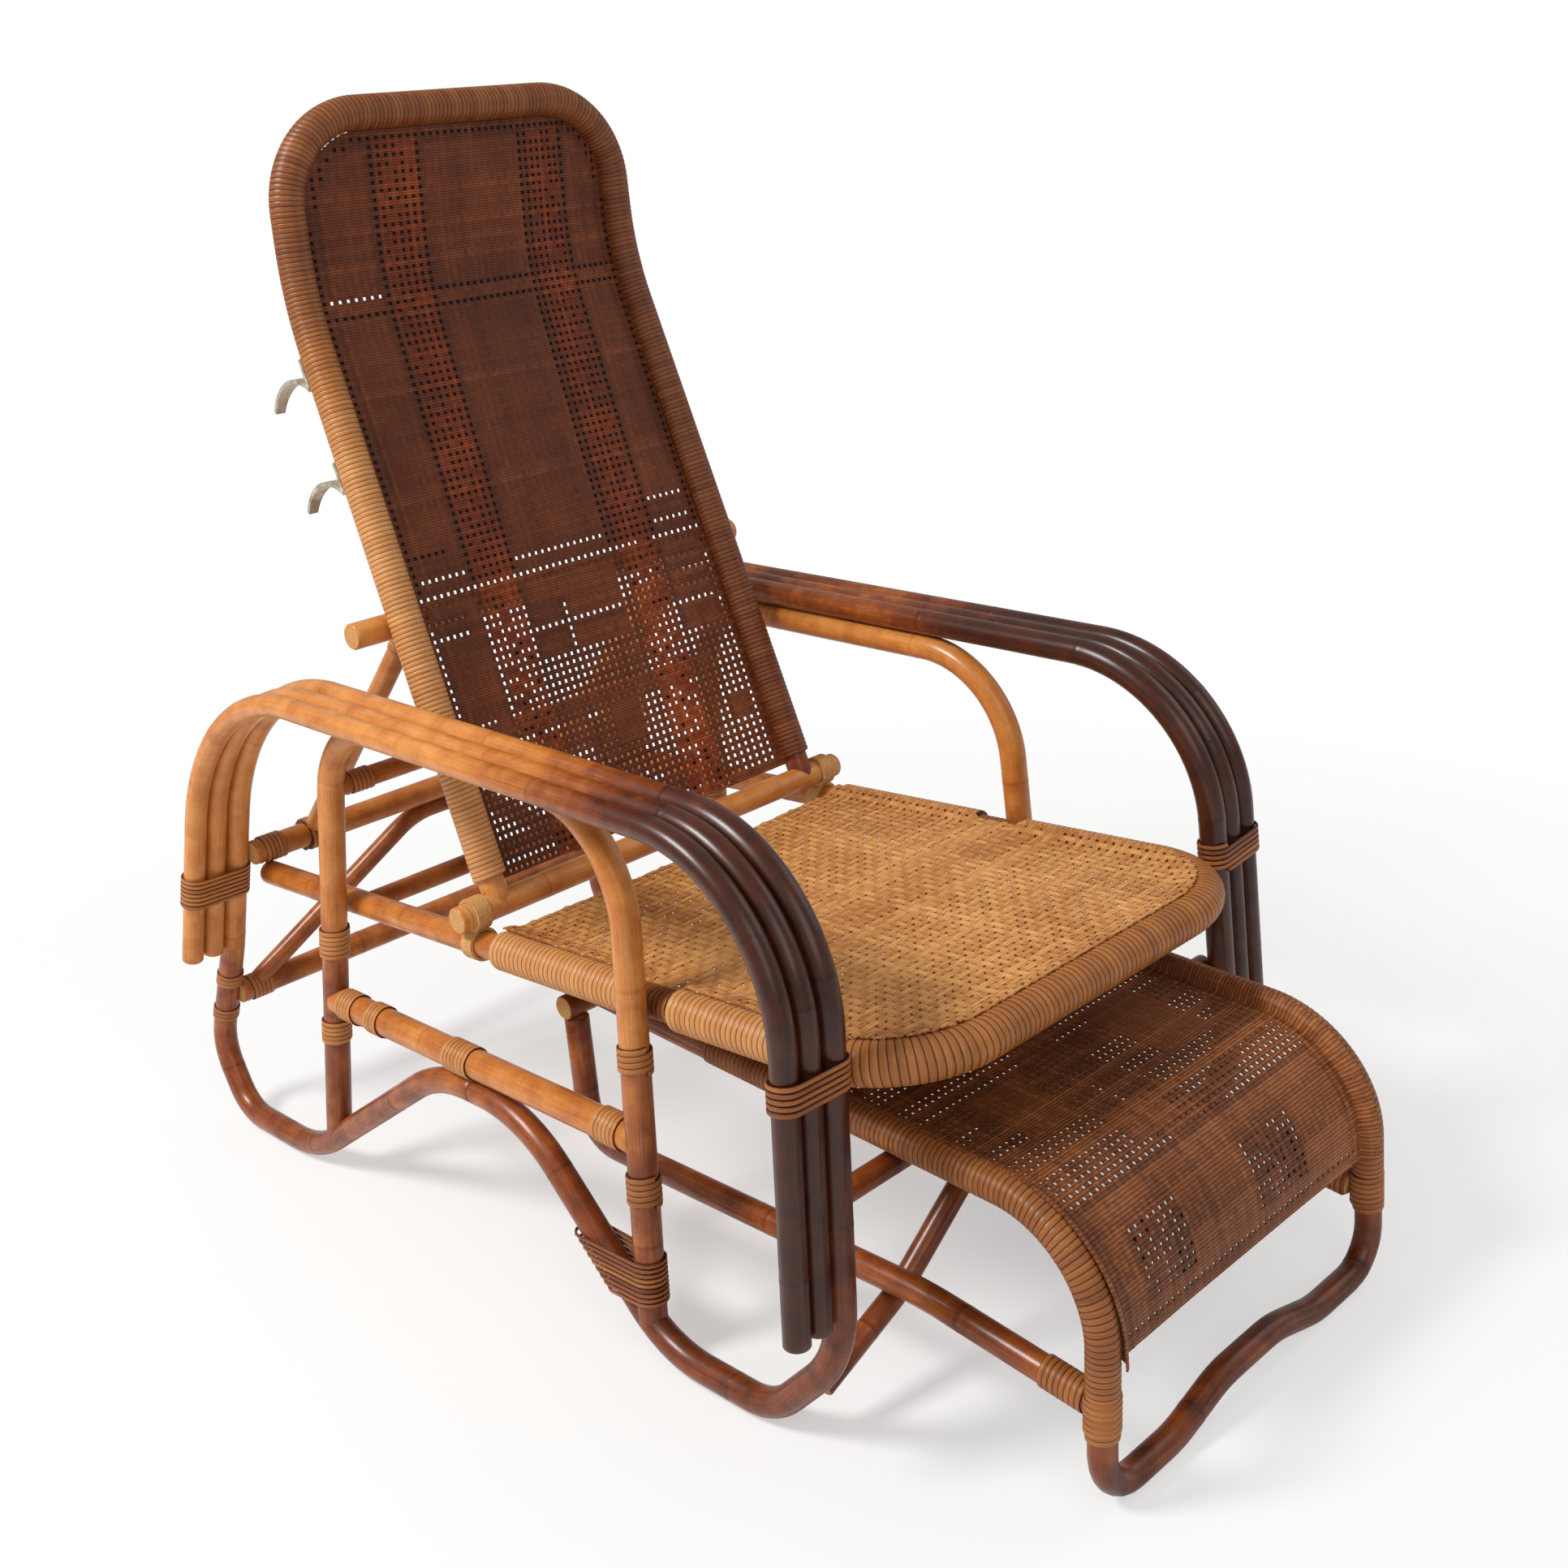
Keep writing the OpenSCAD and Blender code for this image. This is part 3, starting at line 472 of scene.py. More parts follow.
def new_object(name: str, data: bpy.types.ID) -> bpy.types.Object:
    """Puts a new object into the scene."""
    made = bpy.data.objects.new(name, data)
    bpy.context.scene.collection.objects.link(made)
    return made


def repaint(nodes: Sequence[str], material: bpy.types.Material) -> None:
    """Gives CAD nodes that stay visible a new material."""
    for name in nodes:
        node = frame["nodes"][name]
        node.data.materials.clear()
        node.data.materials.append(material)


def finish_piece(bm: bmesh.types.BMesh, name: str, body: str, slot: Slot,
                 materials: Sequence[bpy.types.Material], nodes: Sequence[str] = (),
                 smooth: bool = True) -> bpy.types.Object:
    """Turns a mesh into a piece of the chair that rides on its body.

    Args:
        bm: The finished mesh in metres, freed here.
        name: Name of the piece.
        body: Body of the frame that it rides on.
        slot: Material slot; not used.
        materials: Materials in the order of the faces' numbers.
        nodes: CAD nodes that it stands for.
        smooth: Whether its faces are shaded smooth.

    Returns:
        The new object.
    """
    mesh = bpy.data.meshes.new(name)
    if smooth:
        for face in bm.faces:
            face.smooth = face.material_index == 0
    bm.to_mesh(mesh)
    bm.free()
    piece = new_object(name, mesh)
    for material in materials:
        mesh.materials.append(material)
    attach(piece, body)
    if nodes:
        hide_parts(*nodes)
    LOG.info("%s: %d faces on %s", name, len(mesh.polygons), body)
    return piece


def roll(sides: int, rings: int, uv: Callable[[float, float], tuple[float, float]],
         place: Callable[[float, float], tuple[Vector, float, float]]) -> tuple[bmesh.types.BMesh, list]:
    """Rolls a grid into a closed tube.

    Args:
        sides: Number of faces round the tube.
        rings: Number of faces along the tube.
        uv: Place on the unrolled tube in millimetres, by the shares round and along it.
        place: Point in millimetres, tone, and the darkness of cane nodes and of painted shade in grooves, by the same
            shares.

    Returns:
        The tube as a mesh in metres, and the faces that close its ends.
    """
    bm = bmesh.new()
    uv_layer = bm.loops.layers.uv.new("UVMap")
    bmesh.ops.create_grid(bm, x_segments=sides, y_segments=rings, size=0.5, calc_uvs=True)
    tone_layer = bm.verts.layers.float.new("tone")
    node_and_groove_shade_layer = bm.verts.layers.float.new("knot")
    for face in bm.faces:
        for loop in face.loops:
            across, along = uv(loop.vert.co.x + 0.5, loop.vert.co.y + 0.5)
            loop[uv_layer].uv = (across * MM, along * MM)
    for vert in bm.verts:
        point, vert[tone_layer], vert[node_and_groove_shade_layer] = place(vert.co.x + 0.5, vert.co.y + 0.5)
        vert.co = world(point)
    bmesh.ops.remove_doubles(bm, verts=bm.verts, dist=1e-6)
    caps = bmesh.ops.holes_fill(bm, edges=[edge for edge in bm.edges if edge.is_boundary], sides=0)["faces"]
    bmesh.ops.recalc_face_normals(bm, faces=bm.faces)
    return bm, caps


def sweep(line: Line, stations: Sequence[float], sides: int, radius: Callable[[int, float], float],
          tone: Callable[[Vector, float], float], knot: Callable[[int, float], float],
          pitch: float = 0.0, round_mm: float = 60.0) -> bmesh.types.BMesh:
    """Makes a closed tube along a line, straight or as a helix.

    Args:
        line: Centreline in millimetres.
        stations: Distances along the line, one for each ring.
        sides: Number of faces round the tube.
        radius: Radius by ring number and distance along the line.
        tone: Darkness by point and by distance along the winding.
        knot: Node darkness of a cane and painted shade in a winding's grooves, by ring number and distance.
        pitch: Rise of the rings in one turn round, for a wound strip.
        round_mm: Length round the tube that the pattern is laid out on.

    Returns:
        The tube as a mesh in metres, with its end caps as the second material.
    """
    rings = len(stations) - 1

    def along(u: float, v: float) -> float:
        """Distance along the line of a place on the tube."""
        return stations[round(v * rings)] + pitch * u

    def place(u: float, v: float) -> tuple[Vector, float, float]:
        """Point, tone and knot darkness of a place on the tube."""
        k, s = round(v * rings), along(u, v)
        centre, normal, across = line.at(s)
        point = centre + (normal * math.cos(TAU * u) + across * math.sin(TAU * u)) * radius(k, s)
        return point, tone(centre, s), knot(k, s)

    bm, caps = roll(sides, rings, lambda u, v: (u * round_mm, along(u, v)), place)
    for cap in caps:
        cap.material_index = 1
    return bm


@dataclass
class Cane:
    """One bent or straight rattan cane with its nodes, drawn along its own centreline."""

    name: str
    line: Line
    radius: float
    tone: Tone
    sides: int = 20
    node_run: float = 230.0
    node_rise: float = 0.2
    # Half width of a node's ring, and how far its dark line lies beside it
    node_w: float = 1.7
    node_shift: float = 1.5
    chamfer: float = 1.3
    ring_step: float = 8.0

    def build(self) -> bmesh.types.BMesh:
        """Sweeps the cane, slightly uneven, with a low ring at each node and eased ends."""
        length = self.line.length
        seed = random.Random(self.name)
        knots, s = [], seed.uniform(0.3, 0.8) * self.node_run
        while s < length - 20:
            knots.append(s)
            s += self.node_run * seed.uniform(0.75, 1.25)
        count = max(2, round(length / self.ring_step))
        stations = {0.0, self.chamfer, length - self.chamfer, length}
        stations |= {length * i / count for i in range(count + 1)}
        stations |= {knot + d for knot in knots for d in (-5.0, -2.4, -1.0, 0.0, 1.0, 2.4, 5.0)}
        rings = sorted(s for s in stations if 0 <= s <= length)
        drift = seed.uniform(0, 90)

        def near(s: float) -> float:
            """Closeness to a node, one on its ring."""
            return max((math.exp(-((s - k) / self.node_w) ** 2) for k in knots), default=0.0)

        def radius(_: int, s: float) -> float:
            """Radius with the cane's slight swelling."""
            wave = noise.noise(Vector((s / 90, drift, 0)))
            end = max(0.0, 1 - min(s, length - s) / self.chamfer)
            return self.radius * (0.988 + 0.01 * wave) + self.node_rise * near(s) - self.chamfer * 0.8 * end

        return sweep(self.line, rings, self.sides, radius, lambda p, _: self.tone(p),
                     lambda _, s: near(s + self.node_shift), 0.0, TAU * self.radius)


@dataclass
class Winding:
    """A flat strip wound round and round a cane, each turn rounded and lying against the next."""

    name: str
    line: Line
    radius: float
    tone: Tone
    pitch: float = 5.5
    depth: float = 0.9
    sides: int = 20
    start: float = 0.0
    end: float = 0.0
    # Share of the turn at each ring, and how much of the depth it lies below the turn's crown
    phases: tuple[float, ...] = (0.0, 0.12, 0.5, 0.88)
    drops: tuple[float, ...] = (1.0, 0.22, 0.0, 0.22)

    def build(self) -> bmesh.types.BMesh:
        """Sweeps the helix of turns between its two ends."""
        run = (self.end or self.line.length) - self.start
        turns = max(2, int(run / self.pitch) - 1)
        pitch = run / (turns + 1)
        stations = [self.start + (t + phase) * pitch for t in range(turns) for phase in self.phases]
        stations.append(self.start + turns * pitch)
        seed = random.Random(self.name).uniform(0, 50)

        def tone(p: Vector, s: float) -> float:
            """Tone that drifts from turn to turn."""
            return self.tone(p) + noise.noise(Vector((s / pitch * 0.83, seed, 1.7))) * 0.09

        # The ring at each groove between turns takes full darkness: painted shade
        return sweep(self.line, stations, self.sides, lambda k, _: self.radius - self.depth * self.drops[k % 4], tone,
                     lambda k, _: 1.0 if k % 4 == 0 else 0.0, pitch)


@dataclass
class Lashing:
    """A strip lashed round canes that lie side by side, one straight-sided loop for each turn."""

    name: str
    origin: Vector
    row: Vector
    axis: Vector
    turns: int
    rise: float
    reach: float
    c1: float
    slope: float = 0.0
    thick: float = 2.2
    gap: float = 0.5
    tone: float = 0.35
    steps: int = 36
    sides: int = 8

    def loop_point(self, part: float, far: float) -> tuple[Vector, Vector]:
        """Finds a point on one turn.

        Args:
            part: Share of the turn, from zero to one.
            far: Place of the far round end along the row.

        Returns:
            The point and the outward direction, both in the plane of the turn.
        """
        arc = math.pi * self.reach
        d = part * (2 * far + 2 * arc)
        if d < far:
            return Vector((d, -self.reach, 0)), Vector((0, -1, 0))
        if far + arc <= d < 2 * far + arc:
            return Vector((far - (d - far - arc), self.reach, 0)), Vector((0, 1, 0))
        centre, turned = (far, (d - far) / self.reach - math.pi / 2) if d < far + arc else (
            0.0, (d - 2 * far - arc) / self.reach + math.pi / 2)
        out = Vector((math.cos(turned), math.sin(turned), 0))
        return Vector((centre + self.reach * math.cos(turned), self.reach * math.sin(turned), 0)), out

    def build(self) -> bmesh.types.BMesh:
        """Makes the strip and winds it round the canes."""
        pitch = self.rise / self.turns
        width = pitch - self.gap
        cross = self.axis.cross(self.row)
        total = self.turns * self.steps
        run = 2 * self.c1 + TAU * self.reach
        seed = random.Random(self.name).uniform(0, 50)

        def place(u: float, v: float) -> tuple[Vector, float, float]:
            """Point, tone and painted groove shade of a place on the strip."""
            turn, a = round(v * total) / self.steps, TAU * u
            height = turn * pitch
            flat, out = self.loop_point(turn % 1.0, self.c1 + self.slope * height)
            local = flat + out * (self.thick / 2 * math.sin(a))
            tone = self.tone + 0.2 * noise.noise(Vector((turn * 1.3, seed, 0)))
            point = self.origin + self.row * local.x + cross * local.y + self.axis * (
                height + width / 2 * math.cos(a))
            # Darker towards both edges of each turn: painted shade in the grooves
            return point, tone, 0.7 * abs(math.cos(a)) ** 4

        return roll(self.sides, total, lambda u, v: (v * self.turns * run, u * 2 * width), place)[0]


@dataclass(frozen=True)
class Patch:
    """A patch of a woven panel: its weave and its bounds in millimetres."""

    weave: Weave
    x0: float
    x1: float
    s0: float
    s1: float


@dataclass
class WovenPanel:
    """A panel of crossing strands that rise and dip, with real holes where the weave is open."""

    name: str
    half_width: float
    length: float
    surface: Callable[[float, float], tuple[Vector, Vector]]
    inside: Callable[[float, float], float]
    over: Callable[[int, int], bool]
    patches: Sequence[Patch] = ()
    pitch_x: float = 8.6
    pitch_s: float = 8.2
    strand: float = 0.56
    mixed_strand: float = 0.64
    edge_strand: float = 0.68
    lift: float = 1.1
    closed_lift: float = 0.35
    thick: float = 1.6
    border: tuple[float, float] = (9.0, 17.0)
    # Beyond this distance strands are wider in open rows, and most holes are shallow pockets
    fine_above: float = 1e9
    pocket_depth: float = 1.1
    pocket_rim: float = 0.25
    # Shares of the crossings of a mixed weave that are holes and that are holes or pockets
    lattice_share: float = 0.3
    pocket_share: float = 0.62
    tone: Callable[[float, float], float] = lambda x, s: 0.3

    def weave_at(self, x: float, s: float) -> Weave:
        """Finds how the weave is made at a place, where later patches lie over earlier ones."""
        found = Weave.CLOSED
        for patch in self.patches:
            if patch.x0 <= x <= patch.x1 and patch.s0 <= s <= patch.s1:
                found = patch.weave
        return found

    def width_at(self, x: float, s: float) -> float:
        """Finds the share of the pitch that a strand fills at a place."""
        if self.inside(x, s) < self.border[1] + 4:
            return self.edge_strand
        weave = self.weave_at(x, s)
        if weave is Weave.MIXED:
            return self.mixed_strand
        return self.edge_strand if weave is Weave.OPEN and s > self.fine_above else self.strand

    def build(self) -> bmesh.types.BMesh:
        """Makes the grid of strands, opens its holes and trims it to the outline."""
        columns = round(2 * self.half_width / self.pitch_x)
        rows = round(self.length / self.pitch_s)
        pitch_x, pitch_s = 2 * self.half_width / columns, self.length / rows
        nx, ns = 3 * columns - 1, 3 * rows - 1
        seed = random.Random(self.name)
        warp = [seed.uniform(-0.1, 0.1) for _ in range(columns)]
        weft = [seed.uniform(-0.1, 0.1) for _ in range(rows)]

        def place(k: int, pitch: float) -> float:
            """Distance of a grid line from the panel's edge, with three lines to a strand and its gap."""
            return (k // 3 + (k % 3) * self.strand / 2 + (1 - self.strand) / 2) * pitch

        def place_x(i: int) -> float:
            """Distance of a grid line from the middle of the panel."""
            return -self.half_width + place(i, pitch_x)

        bm = bmesh.new()
        uv_layer = bm.loops.layers.uv.new("UVMap")
        bmesh.ops.create_grid(bm, x_segments=nx, y_segments=ns, size=0.5, calc_uvs=True)
        tone_layer = bm.faces.layers.float.new("tone")
        style_layer = bm.faces.layers.float.new("style")
        dip_shade_layer = bm.verts.layers.float.new("knot")
        gone, pockets = [], []
        for face in bm.faces:
            centre = face.calc_center_median()
            i, j = int((centre.x + 0.5) * nx), int((centre.y + 0.5) * ns)
            x, s = (place_x(i) + place_x(i + 1)) / 2, (place(j, pitch_s) + place(j + 1, pitch_s)) / 2
            weave = self.weave_at(x, s)
            depth = self.inside(x, s)
            column, row = i // 3, j // 3
            hole = i % 3 == 2 and j % 3 == 2
            on_border = self.border[0] < depth < self.border[1]
            fine = s > self.fine_above
            chance = noise.cell(Vector((column * 1.01 + 0.5, row * 1.01 + 0.5, 0.5)))
            lattice = weave is Weave.MIXED and not fine and chance < self.lattice_share
            sunk = weave is Weave.POCKET or on_border or (weave is Weave.MIXED and chance < self.pocket_share)
            is_pocket = hole and sunk and (fine or weave is Weave.MIXED) and not lattice
            is_open = weave is Weave.OPEN or on_border or lattice
            if depth < 0 or (hole and is_open and not is_pocket):
                gone.append(face)
            elif is_pocket:
                pockets.append(face)
            top = self.over(column, row)
            shade = warp[column] if (top or j % 3 == 2) and i % 3 != 2 else weft[row]
            # Pockets take the darkest tone: painted shade for the dark inside of a hole
            face[tone_layer] = self.tone(x, s) + shade + (1.0 if is_pocket else 0.0)
            face[style_layer] = 1.0 if weave is Weave.MIXED else 0.0
            for loop in face.loops:
                co = loop.vert.co
                loop[uv_layer].uv = (place_x(round((co.x + 0.5) * nx)) * MM,
                                     place(round((co.y + 0.5) * ns), pitch_s) * MM)
        for vert in bm.verts:
            i, j = round((vert.co.x + 0.5) * nx), round((vert.co.y + 0.5) * ns)
            x, s = place_x(i), place(j, pitch_s)
            column, row = i // 3, j // 3
            top = self.over(column, row)
            ku, kv = (i % 3, j % 3) if top else (j % 3, i % 3)
            step = (0, 1) if top else (1, 0)
            ahead = self.over(column + step[0], row + step[1]) == top
            behind = self.over(column - step[0], row - step[1]) == top
            along = 1.0 if kv == 1 or (kv == 2 and ahead) or (kv == 0 and behind) else 0.3
            across = 1.0 if ku == 1 else 0.45
            closed = self.weave_at(x, s) is Weave.CLOSED and not (
                self.border[0] - 6 < self.inside(x, s) < self.border[1] + 6)
            high = self.closed_lift if closed else self.lift
            width = self.width_at(x, s)
            x += (i % 3 - 1) * (width - self.strand) / 2 * pitch_x
            s += (j % 3 - 1) * (width - self.strand) / 2 * pitch_s
            # Painted shade: darker where the strand dips under its neighbour, less on close weave
            vert[dip_shade_layer] = (1 - along * across) * (0.25 if closed and self.closed_lift < 0.6 else 0.6)
            depth = self.inside(x, s)
            # Corners of the grid just outside the outline are drawn back onto it
            if -pitch_x * 1.5 < depth < 0:
                e = 0.5
                slope = Vector((self.inside(x + e, s) - self.inside(x - e, s),
                                self.inside(x, s + e) - self.inside(x, s - e))) / (2 * e)
                x, s = x - slope.x * depth, s - slope.y * depth
            point, normal = self.surface(x, s)
            vert.co = world(point + normal * (high * along * across))
        bm.normal_update()
        if pockets:
            facing = sum((face.normal for face in pockets), Vector()) @ self.surface(0, self.length / 3)[1]
            sunk = -self.pocket_depth if facing > 0 else self.pocket_depth
            bmesh.ops.inset_individual(bm, faces=pockets, thickness=self.pocket_rim * MM, depth=sunk * MM)
        bmesh.ops.delete(bm, geom=gone, context="FACES")
        bmesh.ops.recalc_face_normals(bm, faces=bm.faces)
        return bm

    def dress(self, body: str, slot: Slot, material: bpy.types.Material, nodes: Sequence[str]) -> bpy.types.Object:
        """Builds the panel, gives it its thickness and lets it ride.

        Args:
            body: Body of the frame that carries it.
            slot: Material slot.
            material: Its woven finish.
            nodes: CAD nodes that it stands for.

        Returns:
            The panel's object.
        """
        piece = finish_piece(self.build(), self.name, body, slot, [material], nodes, smooth=False)
        up = sum((p.normal for p in piece.data.polygons), Vector()) @ self.surface(0, self.length / 3)[1]
        if up < 0:
            piece.data.flip_normals()
        shell = piece.modifiers.new("strand_thickness", "SOLIDIFY")
        shell.thickness = self.thick * MM
        shell.offset = -1.0
        return piece


def corner_depth(dx: float, ds: float, r: float) -> float:
    """Depth inside a rounded corner, by the distances past its centre each way."""
    return r - math.hypot(dx, ds) if dx > 0 and ds > 0 else 1e9


def between(value: float, low: float, high: float) -> float:
    """Smooth step from zero at low to one at high, where low may be the greater."""
    t = min(1.0, max(0.0, (value - low) / (high - low)))
    return t * t * (3 - 2 * t)


@dataclass
class Chair:
    """Sizes that several sub-assemblies share, in millimetres, as in the part's source."""

    arm_half_w: float = 249
    splay_angle: float = 3.4
    arm_rear_z: float = 541
    arm_front_z: float = 517
    arm_rear_y: float = 443
    front_leg_y: float = -387
    loop_r: float = 13
    arm_r: float = 11.5
    hoop_r: float = 13.5
    cross_r: float = 10.5
    cane_gap: float = 0.8
    fit: float = 0.3
    post_y: float = -154
    rear_post_y: float = 350
    seat_front_z: float = 332
    seat_front_y: float = -437
    seat_tilt: float = 2.1
    seat_cane_r: float = 13
    foot_z: float = 13.25
    # Where the wave of the leg loop meets the floor behind and in front, and its slope there
    wave_rear: tuple[float, float] = (395, 0.663)
    wave_front: tuple[float, float] = (-175, 0.872)
    crest_z: float = 177
    # Forward lean of the hoop's rear post for each millimetre of height
    post_lean: float = 0.142
    stretcher_r: float = 14.5
    upper_bar_y: float = 490
    rear_bar_r: float = 13.5
    pivot_y: float = 102
    pivot_r: float = 13
    loop_t: float = 3.5

    @property
    def splay(self) -> float:
        """Outward lean per millimetre of height."""
        return math.tan(math.radians(self.splay_angle))

    @property
    def arm_fall(self) -> float:
        """Fall of the arm per millimetre forward."""
        return (self.arm_rear_z - self.arm_front_z) / (self.arm_rear_y - self.front_leg_y)

    def side_x(self, w: float, z: float) -> float:
        """Distance from the middle of a side piece at a height."""
        return w + self.splay * (self.arm_rear_z - z)

    def side_path(self, w: float, profile: Sequence[tuple[float, float]], side: Side) -> list[Vector]:
        """Lays a profile of Y and Z on the leaning plane of one side."""
        return [Vector((side.value * self.side_x(w, z), y, z)) for y, z in profile]

    def seat_z(self, y: float) -> float:
        """Height of the seat rails' centre at a place along the chair."""
        return self.seat_front_z - math.tan(math.radians(self.seat_tilt)) * (y - self.seat_front_y)

    def seat_run(self, y: float) -> float:
        """Distance along the tilted seat of a place along the chair."""
        return (y - self.seat_front_y) / math.cos(math.radians(self.seat_tilt))

    def in_seat(self, x: float, run: float, up: float) -> Vector:
        """Turns a point of the seat's own frame into the working frame."""
        t = math.radians(self.seat_tilt)
        return Vector((x, self.seat_front_y + run * math.cos(t) + up * math.sin(t),
                       self.seat_front_z - run * math.sin(t) + up * math.cos(t)))

    @property
    def seat_half_w(self) -> float:
        """Half distance between the centres of the seat rails."""
        return (self.side_x(self.arm_half_w, self.seat_z(self.post_y)) - self.hoop_r - self.seat_cane_r
                - 2 * self.cane_gap)

    @property
    def upper_bar(self) -> tuple[float, float]:
        """Y and Z of the upper rear bar."""
        return self.upper_bar_y, self.seat_z(self.upper_bar_y) + self.seat_cane_r + self.rear_bar_r + self.fit

    @property
    def pivot(self) -> tuple[float, float]:
        """Y and Z of the pivot bar."""
        z = self.seat_z(self.pivot_y) + self.seat_cane_r + self.loop_t + self.pivot_r + self.fit
        return self.pivot_y, z

    def rear_post_at(self, z: float) -> float:
        """Y of the leaning rear post of the hoop at a height."""
        return self.rear_post_y - self.post_lean * (z - self.rear_post_foot_z)

    @property
    def rear_post_foot_z(self) -> float:
        """Height of the foot of the hoop's rear post."""
        return self.foot_z + (self.wave_rear[0] - self.rear_post_y) * self.wave_rear[1]

    @property
    def stretcher_z(self) -> float:
        """Height of the thick side rail."""
        return self.crest_z + self.loop_r + self.stretcher_r + self.cane_gap


class Builder:
    """Makes canes, windings and lashings ride on one body with the chair's finishes."""

    def __init__(self, finishes: Finishes, body: str) -> None:
        """Keeps the finishes and the body."""
        self.finishes = finishes
        self.body = body

    def cane(self, node: str, line: Line, radius: float, tone: Tone | float, slot: Slot = Slot.HONEY) -> None:
        """Builds the cane that stands for one CAD node."""
        piece = Cane(f"{node}_cane", line, radius, tone if callable(tone) else lambda _: tone)
        finish_piece(piece.build(), piece.name, self.body, slot, [self.finishes.cane, self.finishes.end], [node])

    def winding(self, name: str, line: Line, radius: float, tone: Tone | float,
                span: tuple[float, float] = (0.0, 0.0), pitch: float = 4.8, depth: float = 0.8,
                nodes: Sequence[str] = (), slot: Slot = Slot.BINDING) -> None:
        """Builds one winding, over the whole line where no span is given."""
        piece = Winding(name, line, radius, tone if callable(tone) else lambda _: tone, pitch, depth,
                        start=span[0], end=span[1])
        finish_piece(piece.build(), name, self.body, slot, [self.finishes.strip] * 2, nodes)

    def lashing(self, node: str, lashing: Lashing) -> None:
        """Builds the lashing that stands for one CAD node."""
        finish_piece(lashing.build(), lashing.name, self.body, Slot.BINDING, [self.finishes.strip], [node])


@dataclass
class SideFrame:
    """One side of the chair: three arm canes, the leg loop, the hoop, its rail and the lashings."""

    chair: Chair
    finishes: Finishes
    side: Side
    arm_rear_end_z: float = 214
    arm_front_end_z: float = 133
    leg_slope: float = 0.28
    crest_y: float = 87
    crest_gap: float = 0.6
    arm_radii: tuple[float, float] = (220, 150)
    # Corners of the feet, from the rear leg to the front leg
    rear_heel: tuple[float, float] = (586, 84)
    rear_toe_y: float = 540
    front_toe_y: float = -305
    front_heel_z: float = 95
    loop_radii: Sequence[float] = (160, 150, 58, 58, 100, 220, 150, 110, 70, 120, 160)
    hoop_radii: tuple[float, float] = (85, 105)
    rear_tie_z: float = 150
    rear_lashing_z: float = 280
    front_lashing_z: float = 326
    foot_lashing_z: float = 52
    strip_t: float = 2.2

    def __post_init__(self) -> None:
        """Prepares the builder and the place of the outer cane and the rear cut end."""
        c = self.chair
        self.make = Builder(self.finishes, "frame")
        self.middle_w = c.arm_half_w + c.loop_r + c.arm_r + c.cane_gap
        self.outer_w = self.middle_w + 2 * c.arm_r + c.cane_gap
        self.rear_end = (c.arm_rear_y + self.leg_slope * (c.arm_rear_z - self.arm_rear_end_z), self.arm_rear_end_z)

    def arm_tone(self, p: Vector) -> float:
        """Honey along the rear and darker to the front bend, partly scorch and partly painted shade; the far arm's
        darker top is painted shade.
        """
        front = between(p.y, 40, -330)
        low = between(p.z, 330, 120) * between(p.y, 0, 200)
        far = 0.34 * between(p.z, 480, 520) if self.side is Side.LEFT else 0.0
        return min(0.84, 0.16 + 0.68 * front + 0.16 * low + far)

    def leg_tone(self, p: Vector) -> float:
        """As the arm above, and chestnut along the floor."""
        floor = between(p.z, 300, 120)
        return self.arm_tone(p) * (1 - floor) + (0.5 + 0.1 * between(p.y, 200, -300)) * floor

    def hoop_tone(self, p: Vector) -> float:
        """Honey above the seat and browner down the posts."""
        return 0.2 + 0.3 * between(p.z, 330, 200)

    def build(self) -> None:
        """Builds and dresses every piece of the side."""
        c, side, word, make = self.chair, self.side, self.side.word, self.make
        over_arm = [self.rear_end, (c.arm_rear_y, c.arm_rear_z), (c.front_leg_y, c.arm_front_z)]
        arm = over_arm + [(c.front_leg_y, self.arm_front_end_z)]
        for name, w in (("outer", self.outer_w), ("middle", self.middle_w)):
            make.cane(f"arm_cane_{name}_{word}", bent_line(c.side_path(w, arm, side), self.arm_radii), c.arm_r,
                      self.arm_tone)
        z = c.foot_z
        rear_y, rear_slope = c.wave_rear
        front_y, front_slope = c.wave_front
        loop = [(self.crest_y + self.crest_gap, c.crest_z), (rear_y - (c.crest_z - z) / rear_slope, c.crest_z),
                (rear_y, z), (self.rear_toe_y, z), self.rear_heel, *over_arm, (c.front_leg_y, self.front_heel_z),
                (self.front_toe_y, z), (front_y, z), (front_y + (c.crest_z - z) / front_slope, c.crest_z),
                (self.crest_y - self.crest_gap, c.crest_z)]
        line = bent_line(c.side_path(c.arm_half_w, loop, side), self.loop_radii)
        make.cane(f"leg_loop_{word}", line, c.loop_r, self.leg_tone, Slot.DARK)
        rear_leg = [k for k, p in enumerate(line.points) if p.y >= 500]
        tie = min(rear_leg, key=lambda k: abs(line.points[k].z - self.rear_tie_z)) * line.spacing
        for k, (start, end, tone) in enumerate(((-34, -14, 0.4), (14, 34, 0.36))):
            make.winding(f"rear_leg_tie_{word}_{k + 1}", line, c.loop_r + 1.5, tone, (tie + start, tie + end))
        self.build_hoop()
        self.build_lashings()

    def build_hoop(self) -> None:
        """Builds the hoop under the arm, its thick rail and the rail's end bindings."""
        c, side, word, make = self.chair, self.side, self.side.word, self.make
        front_y, front_slope = c.wave_front
        drop = c.loop_r + c.hoop_r + c.cane_gap
        top_y = c.rear_post_y - c.post_lean * (c.arm_rear_z - drop - 43)
        front_foot_z = c.foot_z + (c.post_y - front_y) * front_slope + 1

        def top_z(y: float) -> float:
            """Height of the hoop's top at a place along the chair."""
            return c.arm_rear_z - c.arm_fall * (c.arm_rear_y - y) - drop

